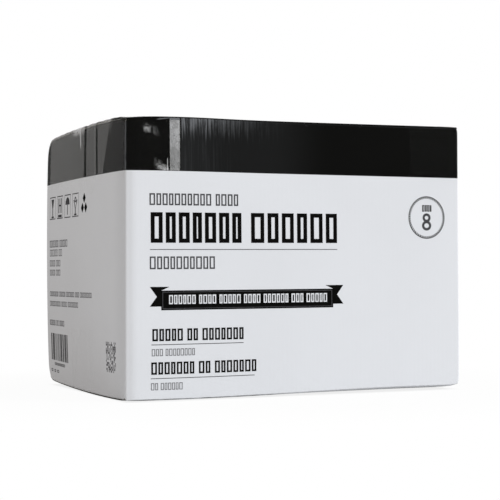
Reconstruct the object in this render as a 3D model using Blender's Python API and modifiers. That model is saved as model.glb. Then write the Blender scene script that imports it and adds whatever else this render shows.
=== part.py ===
"""Sealed corrugated carton of disposable gloves.

A regular slotted carton: one folded sleeve, four top flaps, four bottom flaps, packing tape on the
seams and edges, and dispenser packs standing on end inside it. Lengths are in metres, +Z is up, the
long walls face -Y and +Y, and the origin is under the middle of the carton.
"""

import math

import bmesh
import bpy
from mathutils import Matrix, Vector

# Dispenser packs, which set the size of the carton
PACK_TALL = 0.240
PACK_DEEP = 0.124
PACK_THICK = 0.067
PACKS_ACROSS = 5
PACK_ROWS = 2
PACK_PLAY = 0.0004
HEADROOM = 0.001
PAPERBOARD = 0.0005
TEAR_LONG = 0.130
TEAR_WIDE = 0.046
TEAR_STEPS = 6
END_FLAP_SHORT = 0.014
GLOVE_EDGE = 0.006

# How much smaller a stack of gloves is than its pack
STACK_SHORT = 0.012
STACK_NARROW = 0.008
STACK_THIN = 0.007

# Corrugated board
BOARD = 0.003
LINER = 0.0005
MEDIUM = 0.0003
FLUTE_PITCH = 0.0045
FLUTE_NOSE = 0.0011
FLUTE_WEB = 0.0004
FOLD_RADIUS = 0.0035
FOLD_STEPS = 4
TAB_WIDTH = 0.030
TAB_TAPER = 0.012
SEAM_GAP = 0.002

# Packing tape
TAPE = 0.00015
TAPE_LIFT = 0.00015
TAPE_WIDTH = 0.072
EDGE_ON_TOP = 0.020
CORNER_WRAP = 0.054
TAIL_LENGTH = 0.062
CREASE_MARGIN = 0.003
TOOTH = 0.004
TOOTH_DEPTH = 0.0015

# Clearance between pieces that touch
GAP = 0.0003

# Levels, from the floor up
BOARD_BASE = TAPE + TAPE_LIFT
FLAP_PAIR = 2 * (BOARD + GAP)
PACK_BASE = BOARD_BASE + FLAP_PAIR
BOARD_TOP = PACK_BASE + PACK_TALL + HEADROOM + FLAP_PAIR - GAP
WALL_MIDDLE = (BOARD_BASE + BOARD_TOP) / 2
MAJOR_RIM = BOARD_TOP - BOARD - GAP
MINOR_RIM = MAJOR_RIM - BOARD - GAP

# Outside of the board in plan
HALF_WIDTH = (PACKS_ACROSS * (PACK_THICK + PACK_PLAY) + PACK_PLAY) / 2 + BOARD
CLEAR_DEPTH = PACK_ROWS * (PACK_DEEP + PACK_PLAY) + PACK_PLAY
HALF_DEPTH = (CLEAR_DEPTH + BOARD + GAP) / 2 + BOARD

# Flaps: the crease lies on the outer face, one gap above the flap
FLAP_ROOT = LINER + GAP
FLAP_REACH = HALF_DEPTH - SEAM_GAP / 2
HINGE_HEIGHT = BOARD_TOP + GAP


def clear_scene():
    """Remove whatever the file holds."""
    for item in list(bpy.data.objects):
        bpy.data.objects.remove(item)


def new_collection(name):
    """Add a collection to the scene."""
    collection = bpy.data.collections.new(name)
    bpy.context.scene.collection.children.link(collection)
    return collection


def finish(name, colour, roughness):
    """A plain Principled material."""
    material = bpy.data.materials.new(name)
    material.use_nodes = True
    shader = material.node_tree.nodes["Principled BSDF"]
    shader.inputs["Base Color"].default_value = (*colour, 1)
    shader.inputs["Roughness"].default_value = roughness
    shader.inputs["Metallic"].default_value = 0
    return material


def add_part(name, mesh, material, origin=(0, 0, 0)):
    """Make one named object of a mesh whose vertices are measured from the origin."""
    part = bpy.data.objects.new(name, mesh)
    part.location = origin
    if not mesh.materials:
        mesh.materials.append(material)
    PARTS.objects.link(part)
    return part


def box_mesh(name, low, high):
    """A box between two corners."""
    low, high = Vector(low), Vector(high)
    size = high - low
    place = Matrix.Translation((low + high) / 2) @ Matrix.Diagonal((*size, 1))
    shape = bmesh.new()
    bmesh.ops.create_cube(shape, size=1, matrix=place)
    mesh = bpy.data.meshes.new(name)
    shape.to_mesh(mesh)
    shape.free()
    return mesh


def outline_mesh(name, outlines, low, high):
    """A flat outline, with its holes, raised from one level to another."""
    curve = bpy.data.curves.new(name, "CURVE")
    curve.dimensions = "2D"
    curve.fill_mode = "BOTH"
    curve.extrude = (high - low) / 2
    for outline in outlines:
        spline = curve.splines.new("POLY")
        spline.points.add(len(outline) - 1)
        for point, (x, y) in zip(spline.points, outline):
            point.co = (x, y, 0, 1)
        spline.use_cyclic_u = True
    drawing = bpy.data.objects.new(name, curve)
    PARTS.objects.link(drawing)
    mesh = bpy.data.meshes.new_from_object(drawing.evaluated_get(bpy.context.evaluated_depsgraph_get()))
    bpy.data.objects.remove(drawing)
    shape = bmesh.new()
    shape.from_mesh(mesh)
    bmesh.ops.remove_doubles(shape, verts=shape.verts, dist=1e-6)
    bmesh.ops.translate(shape, verts=shape.verts, vec=(0, 0, (low + high) / 2))
    shape.to_mesh(mesh)
    shape.free()
    return mesh


def turned(mesh, rotation):
    """Turn a mesh about its origin."""
    mesh.transform(rotation)
    return mesh


def carve(part, cutters, operation="DIFFERENCE"):
    """Cut each cutter's mesh out of a part, or join it on, and keep the plain result."""
    for mesh in cutters:
        tool = bpy.data.objects.new(f"{mesh.name}_tool", mesh)
        tool.location = part.location
        tool.display_type = "WIRE"
        tool.hide_render = True
        CUTTERS.objects.link(tool)
        modifier = part.modifiers.new(tool.name, "BOOLEAN")
        modifier.operation = operation
        modifier.object = tool
    return part


def bent_strip(corners, thickness, radius):
    """Outline of a strip whose outer face runs through right-angled corners, with its body on the
    right of that path. Each bend is an arc of the given outer radius."""
    outer = [corners[0]]
    inner = []
    path = [Vector(corner) for corner in corners]
    right = []
    for start, end in zip(path, path[1:]):
        along = (end - start).normalized()
        right.append(Vector((along.y, -along.x)))
    inner.append(tuple(path[0] + right[0] * thickness))
    for index in range(1, len(path) - 1):
        before, after = right[index - 1], right[index]
        centre = path[index] + (before + after) * radius
        for step in range(FOLD_STEPS + 1):
            turn = math.pi / 2 * step / FOLD_STEPS
            away = -(before * math.cos(turn) + after * math.sin(turn))
            outer.append(tuple(centre + away * radius))
            inner.append(tuple(centre + away * (radius - thickness)))
    outer.append(tuple(path[-1]))
    inner.append(tuple(path[-1] + right[-1] * thickness))
    return outer + inner[::-1]


def mirrored_level(level):
    """The level as far above the board's base as the given one is below its top."""
    return BOARD_BASE + BOARD_TOP - level


def rim_cutters(name):
    """Boxes that shape the rims of the sleeve: room for the flaps, and the thin outer liner that
    bends over at each crease."""
    far = 0.01
    wide = HALF_WIDTH + far
    deep = HALF_DEPTH + far
    lip_x = HALF_WIDTH - LINER
    lip_y = HALF_DEPTH - LINER
    wall_x = HALF_WIDTH - BOARD
    wall_y = HALF_DEPTH - BOARD
    above = BOARD_TOP + far
    boxes = [((-wide, -lip_y, MAJOR_RIM), (wide, lip_y, above))]
    for side in (-1, 1):
        near, away = sorted((side * wall_x, side * wide))
        boxes.append(((near, -deep, MAJOR_RIM), (away, deep, above)))
        near, away = sorted((side * (wall_x - far), side * lip_x))
        boxes.append(((near, -wall_y, MINOR_RIM), (away, wall_y, above)))
        near, away = sorted((side * wall_x, side * wide))
        boxes.append(((near, -wall_y, MAJOR_RIM - GAP), (away, wall_y, above)))
    tab_end = -wall_x + TAB_WIDTH + far
    boxes.append(((-wall_x - GAP, wall_y - BOARD - 2 * GAP, MINOR_RIM), (tab_end, wall_y, above)))
    meshes = []
    for count, (low, high) in enumerate(boxes):
        meshes.append(box_mesh(f"{name}_top_{count}", low, high))
        floor = (low[0], low[1], mirrored_level(high[2]))
        roof = (high[0], high[1], mirrored_level(low[2]))
        meshes.append(box_mesh(f"{name}_base_{count}", floor, roof))
    return meshes


def tab_cutters(name):
    """Wedges that slope the glue tab's upper and lower edges down to its free end."""
    fold = FOLD_RADIUS - HALF_WIDTH
    end = TAB_WIDTH - HALF_WIDTH + GAP
    tab_face = HALF_DEPTH - BOARD - GAP / 2
    meshes = []
    for side, rim in (("top", MINOR_RIM), ("base", mirrored_level(MINOR_RIM))):
        away = math.copysign(GAP, rim - WALL_MIDDLE)
        slope = math.copysign(TAB_TAPER, rim - WALL_MIDDLE)
        wedge = [(fold, rim + away), (end, rim + away), (end, rim - slope), (fold, rim)]
        drawing = outline_mesh(f"{name}_{side}", [wedge], -tab_face, BOARD + GAP - tab_face)
        meshes.append(turned(drawing, Matrix.Rotation(math.pi / 2, 4, "X")))
    return meshes


def carton_sleeve():
    """Four walls and the glue tab, folded from one sheet. The tab lies inside the back wall."""
    back = HALF_DEPTH
    tab = HALF_DEPTH - BOARD - GAP
    corners = [(FOLD_RADIUS - HALF_WIDTH, back), (HALF_WIDTH, back), (HALF_WIDTH, -back),
               (-HALF_WIDTH, -back), (-HALF_WIDTH, tab), (TAB_WIDTH - HALF_WIDTH, tab)]
    outline = bent_strip(corners, BOARD, FOLD_RADIUS)
    mesh = outline_mesh("carton_sleeve", [outline], BOARD_BASE + GAP, BOARD_TOP - GAP)
    sleeve = add_part("carton_sleeve", mesh, BOARD_FINISH)
    return carve(sleeve, rim_cutters("rim") + tab_cutters("tab"))


def flute_outlines(half_length):
    """Cross-sections of the channels in a board's cut edge: channels that open towards the upper
    liner, and between them channels that open towards the lower one, with the slanting medium left
    standing. The second coordinate is the depth below the crease."""
    nose = FLUTE_NOSE / 2
    mouth = FLUTE_PITCH / 2 - nose - FLUTE_WEB
    upper = GAP + LINER
    lower = GAP + BOARD - LINER
    count = int((2 * half_length - FLUTE_PITCH) / FLUTE_PITCH)
    outlines = []
    for index in range(2 * count - 1):
        x = (index + 1 - count) * FLUTE_PITCH / 2
        wide, narrow = (upper, lower - MEDIUM) if index % 2 == 0 else (lower, upper + MEDIUM)
        outlines.append([(x - mouth, wide), (x + mouth, wide), (x + nose, narrow), (x - nose, narrow)])
    return outlines


def fluted_flap_mesh(name, half_length):
    """A flap that lies flat, its root near the crease and its free edge at +Y, with its flutes
    running open from root to free edge."""
    edge = [(-half_length, GAP), (half_length, GAP), (half_length, GAP + BOARD), (-half_length, GAP + BOARD)]
    mesh = outline_mesh(name, [edge] + flute_outlines(half_length), FLAP_ROOT, FLAP_REACH)
    return turned(mesh, Matrix.Rotation(-math.pi / 2, 4, "X"))


def plain_flap_mesh(name, half_length):
    """The same flap as a plain slab."""
    low = (-half_length, FLAP_ROOT, -BOARD - GAP)
    high = (half_length, FLAP_REACH, -GAP)
    return box_mesh(name, low, high)


def top_flaps():
    """Long flaps over short ones. A flap's origin is on its crease."""
    long_half = HALF_WIDTH - GAP
    short_half = HALF_DEPTH - BOARD - GAP
    quarter = math.pi / 2
    places = {
        "top_flap_front": (long_half, 0, (0, -HALF_DEPTH, HINGE_HEIGHT)),
        "top_flap_back": (long_half, 2 * quarter, (0, HALF_DEPTH, HINGE_HEIGHT)),
        "top_flap_left": (short_half, -quarter, (-HALF_WIDTH, 0, HINGE_HEIGHT - BOARD - GAP)),
        "top_flap_right": (short_half, quarter, (HALF_WIDTH, 0, HINGE_HEIGHT - BOARD - GAP)),
    }
    for name, (half, turn, origin) in places.items():
        mesh = turned(fluted_flap_mesh(name, half), Matrix.Rotation(turn, 4, "Z"))
        add_part(name, mesh, BOARD_FINISH, origin)


def bottom_flaps():
    """The same four flaps turned over, long ones outside."""
    long_half = HALF_WIDTH - GAP
    short_half = HALF_DEPTH - BOARD - GAP
    quarter = math.pi / 2
    crease = mirrored_level(HINGE_HEIGHT)
    places = {
        "bottom_flap_front": (long_half, 0, (0, -HALF_DEPTH, crease)),
        "bottom_flap_back": (long_half, 2 * quarter, (0, HALF_DEPTH, crease)),
        "bottom_flap_left": (short_half, -quarter, (-HALF_WIDTH, 0, crease + BOARD + GAP)),
        "bottom_flap_right": (short_half, quarter, (HALF_WIDTH, 0, crease + BOARD + GAP)),
    }
    over = Matrix.Rotation(math.pi, 4, "Y")
    for name, (half, turn, origin) in places.items():
        mesh = turned(plain_flap_mesh(name, half), Matrix.Rotation(turn, 4, "Z") @ over)
        add_part(name, mesh, BOARD_FINISH, origin)


def top_tape(name, side):
    """Tape on one long flap, cut at the seam: half of the seam strip and the two end strips."""
    hinge = Vector((0, side * HALF_DEPTH, HINGE_HEIGHT))
    end = HALF_WIDTH - GAP
    end_inner = HALF_WIDTH - EDGE_ON_TOP
    seam = FLAP_REACH
    seam_inner = HALF_DEPTH - TAPE_WIDTH / 2
    outline = [(-end, FLAP_ROOT), (-end_inner, FLAP_ROOT), (-end_inner, seam_inner), (end_inner, seam_inner),
               (end_inner, FLAP_ROOT), (end, FLAP_ROOT), (end, seam), (-end, seam)]
    low = TAPE_LIFT - GAP
    mesh = outline_mesh(name, [outline], low, low + TAPE)
    turn = 0 if side < 0 else math.pi
    add_part(name, turned(mesh, Matrix.Rotation(turn, 4, "Z")), TAPE_FINISH, hinge)


def toothed_edge(start, end, outward):
    """Points from start to end along an edge torn on a toothed blade, with teeth pointing outward."""
    start, end, outward = Vector(start), Vector(end), Vector(outward)
    count = max(1, round((end - start).length / TOOTH))
    points = []
    for index in range(count):
        points.append(tuple(start.lerp(end, index / count)))
        points.append(tuple(start.lerp(end, (index + 0.5) / count) + outward * TOOTH_DEPTH))
    points.append(tuple(end))
    return points


def facing_x(outline, name, low, high):
    """A drawing in Y and Z, raised along X."""
    upright = Matrix(((0, 0, 1, 0), (1, 0, 0, 0), (0, 1, 0, 0), (0, 0, 0, 1)))
    return turned(outline_mesh(name, [outline], low, high), upright)


def facing_y(outline, name, reach):
    """A drawing in X and Z, raised along Y as far each way."""
    return turned(outline_mesh(name, [outline], -reach, reach), Matrix.Rotation(math.pi / 2, 4, "X"))


def side_tape(name, side):
    """Tape on one end wall, round both corners, with the tail of the seam strip hanging lower. Its
    loose ends are torn on the blade."""
    x = side * (HALF_WIDTH + BOARD_BASE)
    y = HALF_DEPTH + BOARD_BASE
    torn = side * (HALF_WIDTH - CORNER_WRAP)
    end = torn - side * TOOTH / 2
    corners = [(end, side * y), (x, side * y), (x, -side * y), (end, -side * y)]
    top = BOARD_TOP - CREASE_MARGIN
    bottom = BOARD_TOP - (TAPE_WIDTH - EDGE_ON_TOP)
    tail = BOARD_TOP - TAIL_LENGTH
    floor = tail - TOOTH
    mesh = outline_mesh(name, [bent_strip(corners, TAPE, FOLD_RADIUS + BOARD_BASE)], floor, top)
    strip = add_part(name, mesh, TAPE_FINISH)
    half = TAPE_WIDTH / 2
    far = y + TOOTH
    under = [(-far, bottom), (-half, bottom)] + toothed_edge((-half, tail), (half, tail), (0, -1))
    under += [(half, bottom), (far, bottom), (far, floor - TOOTH), (-far, floor - TOOTH)]
    near, away = sorted((side * (HALF_WIDTH + TOOTH), torn - side * 2 * TOOTH))
    beyond = toothed_edge((torn, bottom - TOOTH), (torn, top + TOOTH), (side, 0))
    beyond += [(torn - side * TOOTH, top + TOOTH), (torn - side * TOOTH, bottom - TOOTH)]
    carve(strip, [facing_x(under, f"{name}_under", near, away), facing_y(beyond, f"{name}_beyond", far)])


def bottom_tape():
    """One strip along the bottom seam, and its tails on both end walls."""
    half = TAPE_WIDTH / 2
    outside = HALF_WIDTH + BOARD_BASE
    strip = box_mesh("bottom_tape", (-outside, -half, 0), (outside, half, TAPE))
    add_part("bottom_tape", strip, TAPE_FINISH)
    top = BOARD_BASE + TAIL_LENGTH
    outline = [(-half, BOARD_BASE), (half, BOARD_BASE)] + toothed_edge((half, top), (-half, top), (0, -1))
    for name, side in (("bottom_tape_tail_left", -1), ("bottom_tape_tail_right", 1)):
        near, away = sorted((side * outside, side * (outside - TAPE)))
        add_part(name, facing_x(outline, name, near, away), TAPE_FINISH)


def slot_outline(length, width):
    """A slot with round ends, its length along X."""
    radius = width / 2
    points = []
    for end in (1, -1):
        for step in range(TEAR_STEPS + 1):
            turn = math.pi * step / TEAR_STEPS - math.pi / 2
            x = (length / 2 - radius) + radius * math.cos(turn)
            points.append((end * x, end * radius * math.sin(turn)))
    return points


def dispenser_meshes():
    """Meshes of one pack about its centre: folded carton, tear-out panel and gloves. The panel is in
    the large wall that faces +X. Each end is closed by an inner and an outer flap, and the outer one
    stops short of the far edge."""
    upright = Matrix.Rotation(math.pi / 2, 4, "Y")
    half = Vector((PACK_THICK, PACK_DEEP, PACK_TALL)) / 2
    wall = Vector((PAPERBOARD, PAPERBOARD, 2 * PAPERBOARD))
    past = Vector((PAPERBOARD, PAPERBOARD, PAPERBOARD))
    shell = add_part("pack_shell", box_mesh("pack_shell", -half, half), PAPER_FINISH)
    hole = slot_outline(TEAR_LONG, TEAR_WIDE)
    window = outline_mesh("pack_window", [hole], half.x - 2 * PAPERBOARD, half.x + PAPERBOARD)
    cutters = [box_mesh("pack_room", wall - half, half - wall), turned(window, upright)]
    for name, end in (("top", 1), ("base", -1)):
        low, high = sorted((end * (half.z - PAPERBOARD), end * (half.z + PAPERBOARD)))
        corner = (-half.x - past.x, -half.y - past.y, low)
        other = (-half.x + END_FLAP_SHORT, half.y + past.y, high)
        cutters.append(box_mesh(f"pack_step_{name}", corner, other))
    carve(shell, cutters)
    shell_mesh = bpy.data.meshes.new_from_object(shell.evaluated_get(bpy.context.evaluated_depsgraph_get()))
    bpy.data.objects.remove(shell)
    plug = slot_outline(TEAR_LONG - 2 * GAP, TEAR_WIDE - 2 * GAP)
    panel_mesh = turned(outline_mesh("tear_panel", [plug], half.x - PAPERBOARD, half.x), upright)
    floor = wall.z + GAP - half.z
    side = (PACK_THICK - STACK_THIN) / 2
    front = (PACK_DEEP - STACK_NARROW) / 2
    ceiling = floor + PACK_TALL - STACK_SHORT
    gloves_mesh = box_mesh("gloves", (-side, -front, floor), (side, front, ceiling))
    return shell_mesh, panel_mesh, gloves_mesh


def dispenser_packs():
    """Packs standing on end, side by side, in rows from front to back."""
    shell_mesh, panel_mesh, gloves_mesh = dispenser_meshes()
    first_x = BOARD - HALF_WIDTH + PACK_PLAY + PACK_THICK / 2
    first_y = BOARD - HALF_DEPTH + PACK_PLAY + PACK_DEEP / 2
    height = PACK_BASE + PACK_TALL / 2
    for row in range(PACK_ROWS):
        y = first_y + row * (PACK_DEEP + PACK_PLAY)
        for column in range(PACKS_ACROSS):
            number = row * PACKS_ACROSS + column + 1
            centre = (first_x + column * (PACK_THICK + PACK_PLAY), y, height)
            add_part(f"pack_{number:02d}_carton", shell_mesh, PAPER_FINISH, centre)
            add_part(f"pack_{number:02d}_tear_panel", panel_mesh, PAPER_FINISH, centre)
            gloves = add_part(f"pack_{number:02d}_gloves", gloves_mesh, GLOVE_FINISH, centre)
            rounding = gloves.modifiers.new("rounding", "BEVEL")
            rounding.width = GLOVE_EDGE
            rounding.segments = 2


clear_scene()
PARTS = new_collection("glove_carton")
CUTTERS = new_collection("cutters")
BOARD_FINISH = finish("printed_board", (0.75, 0.76, 0.78), 0.45)
TAPE_FINISH = finish("clear_tape", (0.45, 0.45, 0.43), 0.15)
PAPER_FINISH = finish("paperboard", (0.70, 0.71, 0.74), 0.4)
GLOVE_FINISH = finish("nitrile", (0.02, 0.02, 0.022), 0.5)

carton_sleeve()
top_flaps()
bottom_flaps()
top_tape("top_tape_front", -1)
top_tape("top_tape_back", 1)
side_tape("side_tape_left", -1)
side_tape("side_tape_right", 1)
bottom_tape()
dispenser_packs()
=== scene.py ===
"""A sealed carton of disposable gloves: the finish of its board, its print, its tape and what it holds.

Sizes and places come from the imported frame. New surfaces are worked out on grids of points and then settled:
a full, taped carton bellies out between its folds, its lid rises, and its corners are knocked in. Lengths are
in metres, +Z is up, and the long walls face -Y and +Y.
"""

import math

import bpy
import numpy as np
from bpy.props import FloatProperty, FloatVectorProperty, PointerProperty
from mathutils import Matrix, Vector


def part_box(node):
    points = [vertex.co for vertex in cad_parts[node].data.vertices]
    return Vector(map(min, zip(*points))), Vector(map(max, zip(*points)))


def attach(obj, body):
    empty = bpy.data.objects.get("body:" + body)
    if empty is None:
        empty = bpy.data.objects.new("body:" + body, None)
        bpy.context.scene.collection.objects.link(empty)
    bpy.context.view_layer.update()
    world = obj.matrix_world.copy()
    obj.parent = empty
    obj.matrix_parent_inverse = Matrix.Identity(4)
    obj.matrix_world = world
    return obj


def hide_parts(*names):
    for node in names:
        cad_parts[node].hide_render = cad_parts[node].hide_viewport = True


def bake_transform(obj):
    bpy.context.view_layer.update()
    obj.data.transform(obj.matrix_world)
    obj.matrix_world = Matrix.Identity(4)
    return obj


bl_info = {
    "name": "Glove carton",
    "version": (1, 0, 0),
    "blender": (4, 5, 0),
    "location": "View3D > Sidebar > Glove Carton",
    "description": "Builds the looks of a sealed carton of gloves around its packed frame",
    "category": "Object",
}

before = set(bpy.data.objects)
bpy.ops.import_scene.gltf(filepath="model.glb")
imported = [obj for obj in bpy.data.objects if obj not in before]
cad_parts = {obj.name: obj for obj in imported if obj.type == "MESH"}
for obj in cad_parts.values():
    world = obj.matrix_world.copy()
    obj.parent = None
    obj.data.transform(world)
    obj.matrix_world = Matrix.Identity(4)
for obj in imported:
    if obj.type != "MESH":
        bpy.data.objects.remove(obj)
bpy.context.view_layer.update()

# Places that the frame gives
HALF_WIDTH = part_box("carton_sleeve")[1].x
HALF_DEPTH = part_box("carton_sleeve")[1].y
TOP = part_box("top_flap_front")[1].z
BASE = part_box("bottom_flap_front")[0].z
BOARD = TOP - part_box("top_flap_front")[0].z
SHORT_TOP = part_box("top_flap_left")[1].z
SHORT_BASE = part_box("bottom_flap_left")[0].z
TAPE_LOW, TAPE_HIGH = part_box("side_tape_left")
TAIL_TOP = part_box("bottom_tape_tail_left")[1].z
SEAM_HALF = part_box("bottom_tape")[1].y
MIDDLE = (TOP + BASE) / 2

# The flaps, and the bodies of those that open
FLAPS = [f"{level}_flap_{side}" for level in ("top", "bottom") for side in ("front", "back", "left", "right")]
FLAP_BODIES = {"top_flap_front": "front_flap", "top_flap_back": "back_flap"}

# The glue tab: how far it reaches from its fold, and how much its ends slope over that
TAB_REACH = 0.030
TAB_SLOPE = 0.012

# How far the tape reaches from the lid's edge: over the lid, and down the end wall
TAPE_ON_LID = 0.020
TAPE_ON_WALL = 0.052

# Radius of the tape where it turns over an edge of the lid and of the base
LID_TURN = 0.0007
BASE_TURN = 0.002

# Name of the mesh attribute that holds the places of points before the carton settled
UNSETTLED = "unsettled"

# Largest angle between faces that are shaded as one surface
SMOOTH_ANGLE = math.radians(35)

# Walls by name: where the distance along the wall starts, its direction, and the way the wall looks
WALLS = {
    "front": ((-HALF_WIDTH, -HALF_DEPTH), (1, 0), (0, -1)),
    "back": ((HALF_WIDTH, HALF_DEPTH), (-1, 0), (0, 1)),
    "left": ((-HALF_WIDTH, -HALF_DEPTH), (0, 1), (-1, 0)),
}

# How closely a movement of the settled carton keeps to a wall, and to the lid, the base or a corner
WALL_POWER = 9
LEVEL_POWER = 8

# Knocked corners: which corner, how far it sinks towards mid height and within what reach, how far it is
# pressed in towards the middle of the carton and within what reach
KNOCKS = (
    ((-1, -1, 1), 0.0012, 0.018, 0.0006, 0.007),
    ((1, -1, 1), 0.0002, 0.015, 0.0003, 0.006),
    ((-1, 1, 1), 0.0012, 0.016, 0.0030, 0.009),
    ((1, 1, 1), 0.0010, 0.022, 0.0015, 0.010),
    ((-1, -1, -1), 0.0002, 0.012, 0.0004, 0.006),
    ((1, -1, -1), 0.0006, 0.006, 0.0014, 0.006),
    ((-1, 1, -1), 0.0006, 0.016, 0.0026, 0.010),
    ((1, 1, -1), 0.0003, 0.016, 0.0008, 0.008),
)

# How far the lid and the base have lifted at their corners: near left, near right, far left, far right
LID_LIFT = (0.0038, 0.0040, 0.0016, 0.0026)
BASE_LIFT = (0.0012, 0.0038, 0.0052, 0.0045)

# How far an edge of print fades, and how far a rounded fold stays inside its sharp corner, as a share of its
# radius
PRINT_FADE = 0.00012
FOLD_CUT = 0.586

# The strip of haze where the tape round the near fold ends: its start and end along the front wall, how far
# their edges fade, and the heights between which its painted light top on the board starts
STRIP_START = 0.0423
STRIP_END = 0.0527
STRIP_FADE = 0.0006
STRIP_TOP = (TOP - 0.0031, TOP - 0.0029)

# Slanting lines on the front wall's band: height, the distance along the wall where the line is at that
# height, its slope and its half width
GLINT = (0.2518, 0.0313, 0.11, 0.0008)
HIGH_SMUDGE = (0.2440, 0.022, -0.30, 0.0050)
LOW_SMUDGE = (0.2120, 0.033, -0.60, 0.0062)

# Slanting lines on the end wall's tape: distance along the wall, the height at which the line is there, its
# slope and its half width
FIRST_SLIT = (0.0826, 0.222, 0.08, 0.0052)
SECOND_SLIT = (0.1192, 0.222, 0.05, 0.0072)
RIDGE = (0.0885, 0.222, 0.08, 0.0030)
PULL = (0.1349, 0.2360, 0.25, 0.0026)

# The part of the end wall's tape that is stuck down by the near fold: how far it reaches, the height below
# which it reaches further, and how much further
STUCK_REACH = 0.0465
STUCK_TOP = 0.2480
STUCK_SLOPE = 0.47

# Widths of the printed blocks in a row, one after another, as shares of the widest, and the gaps between
# blocks and between words
BLOCK_SHARES = (1.0, 0.84, 0.92, 0.78, 0.96, 0.88, 0.8)
BLOCK_GAP = 0.26
WORD_GAP = 0.85

# Rows of boxes on the long walls: start and end along the wall, level, height, boxes in each word, ink and
# width of the line
LONG_WALL_ROWS = (
    (0.0227, 0.1092, 0.1775, 0.0106, (10, 4), "grey", 0.0013),
    (0.0237, 0.1123, 0.1436, 0.0275, (7,), "black", 0.0038),
    (0.1220, 0.2105, 0.1436, 0.0276, (6,), "black", 0.0038),
    (0.0227, 0.0856, 0.1197, 0.0115, (10,), "grey", 0.0013),
    (0.0249, 0.1138, 0.0545, 0.0111, (5, 2, 7), "black", 0.0016),
    (0.0243, 0.0656, 0.0409, 0.0065, (3, 8), "pale", 0.0007),
    (0.0238, 0.1265, 0.0240, 0.0113, (7, 2, 7), "black", 0.0016),
    (0.0235, 0.0536, 0.0097, 0.0066, (2, 6), "pale", 0.0007),
    (0.3030, 0.3132, 0.1742, 0.0062, (4,), "black", 0.0008),
)

# Thin rules on the long walls: start and end along the wall, level
LONG_WALL_RULES = ((0.0230, 0.2107, 0.1375), (0.0240, 0.1137, 0.0512), (0.0233, 0.1248, 0.0204))

# Rows of boxes on the end wall, in the same terms
END_WALL_ROWS = (
    (0.1765, 0.2419, 0.1432, 0.0072, (5, 6), "pale", 0.0010),
    (0.1963, 0.2413, 0.1340, 0.0070, (2, 5), "pale", 0.0008),
    (0.2021, 0.2419, 0.1236, 0.0064, (3, 4), "pale", 0.0008),
    (0.2023, 0.2419, 0.1142, 0.0060, (3, 4), "pale", 0.0008),
    (0.0962, 0.2421, 0.0927, 0.0050, (8, 3, 6, 5, 7), "pale", 0.0008),
    (0.1410, 0.2428, 0.0825, 0.0052, (7, 4, 8), "pale", 0.0008),
    (0.1907, 0.2443, 0.0624, 0.0056, (4, 2, 5), "pale", 0.0008),
    (0.1924, 0.2300, 0.0203, 0.0028, (10,), "pale", 0.0008),
    (0.2156, 0.2432, 0.0132, 0.0026, (1, 1, 1), "grey", 0.0008),
)


class CartonSizes(bpy.types.PropertyGroup):
    """Sizes of the carton's finish."""

    fold_radius: FloatProperty(
        name="Fold radius", description="Outer radius of the upright folds", default=0.0018, unit="LENGTH")
    inner_fold: FloatProperty(
        name="Inner fold", description="Inner radius of the upright folds", default=0.0004, unit="LENGTH")
    free_edge: FloatProperty(
        name="Free edge", description="From the end wall to the edge glued over the tab", default=0.0035,
        unit="LENGTH")
    crease_radius: FloatProperty(
        name="Crease radius", description="Outer radius of the flap creases", default=0.0026, unit="LENGTH")
    base_radius: FloatProperty(
        name="Base radius", description="Outer radius of the bottom creases", default=0.0014, unit="LENGTH")
    crease_board: FloatProperty(
        name="Creased board", description="Thickness of the board crushed at a crease", default=0.0012,
        unit="LENGTH")
    flute_pitch: FloatProperty(
        name="Flute pitch", description="From one flute to the next", default=0.0045, unit="LENGTH")
    liner: FloatProperty(
        name="Liner", description="Thickness of each facing of the board", default=0.0005, unit="LENGTH")
    medium: FloatProperty(
        name="Medium", description="Thickness of the wavy sheet in the board", default=0.0003, unit="LENGTH")
    band_level: FloatProperty(
        name="Band level", description="Height at which the black band starts", default=0.2083, unit="LENGTH")
    band_slope: FloatProperty(
        name="Band slope", description="Fall of the band's edge for each length to the right", default=0.0045)
    end_belly: FloatProperty(
        name="End belly", description="How far the end walls stand out in the middle", default=0.0016,
        unit="LENGTH")
    long_belly: FloatProperty(
        name="Long belly", description="How far the long walls stand out in the middle", default=0.0006,
        unit="LENGTH")
    lid_dome: FloatProperty(
        name="Lid dome", description="How much the middle of the lid's ends has lifted", default=0.0027,
        unit="LENGTH")
    lid_crown: FloatProperty(
        name="Lid crown", description="How much the middle of the lid has lifted", default=0.0015,
        unit="LENGTH")
    fold_facet: FloatProperty(
        name="Fold facet", description="Width of the flat beside the near upright fold", default=0.0050,
        unit="LENGTH")
    facet_slope: FloatProperty(
        name="Facet slope", description="How far the flat turns back for each length along it", default=0.30)
    film: FloatProperty(
        name="Film", description="Thickness of the packing tape", default=0.0001, unit="LENGTH")
    film_lift: FloatProperty(
        name="Film lift", description="Gap between the board and the tape", default=0.00012, unit="LENGTH")
    tooth: FloatProperty(
        name="Tooth", description="Width of one tooth of the torn tape", default=0.0040, unit="LENGTH")
    tooth_depth: FloatProperty(
        name="Tooth depth", description="Depth of one tooth of the torn tape", default=0.0015, unit="LENGTH")
    ink: FloatProperty(
        name="Ink", description="Thickness of the printed marks", default=0.00006, unit="LENGTH")
    rule: FloatProperty(
        name="Rule", description="Width of the printed rules", default=0.0006, unit="LENGTH")
    glove_layer: FloatProperty(
        name="Glove layer", description="Thickness of one folded pair in the stack", default=0.0035,
        unit="LENGTH")


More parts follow.
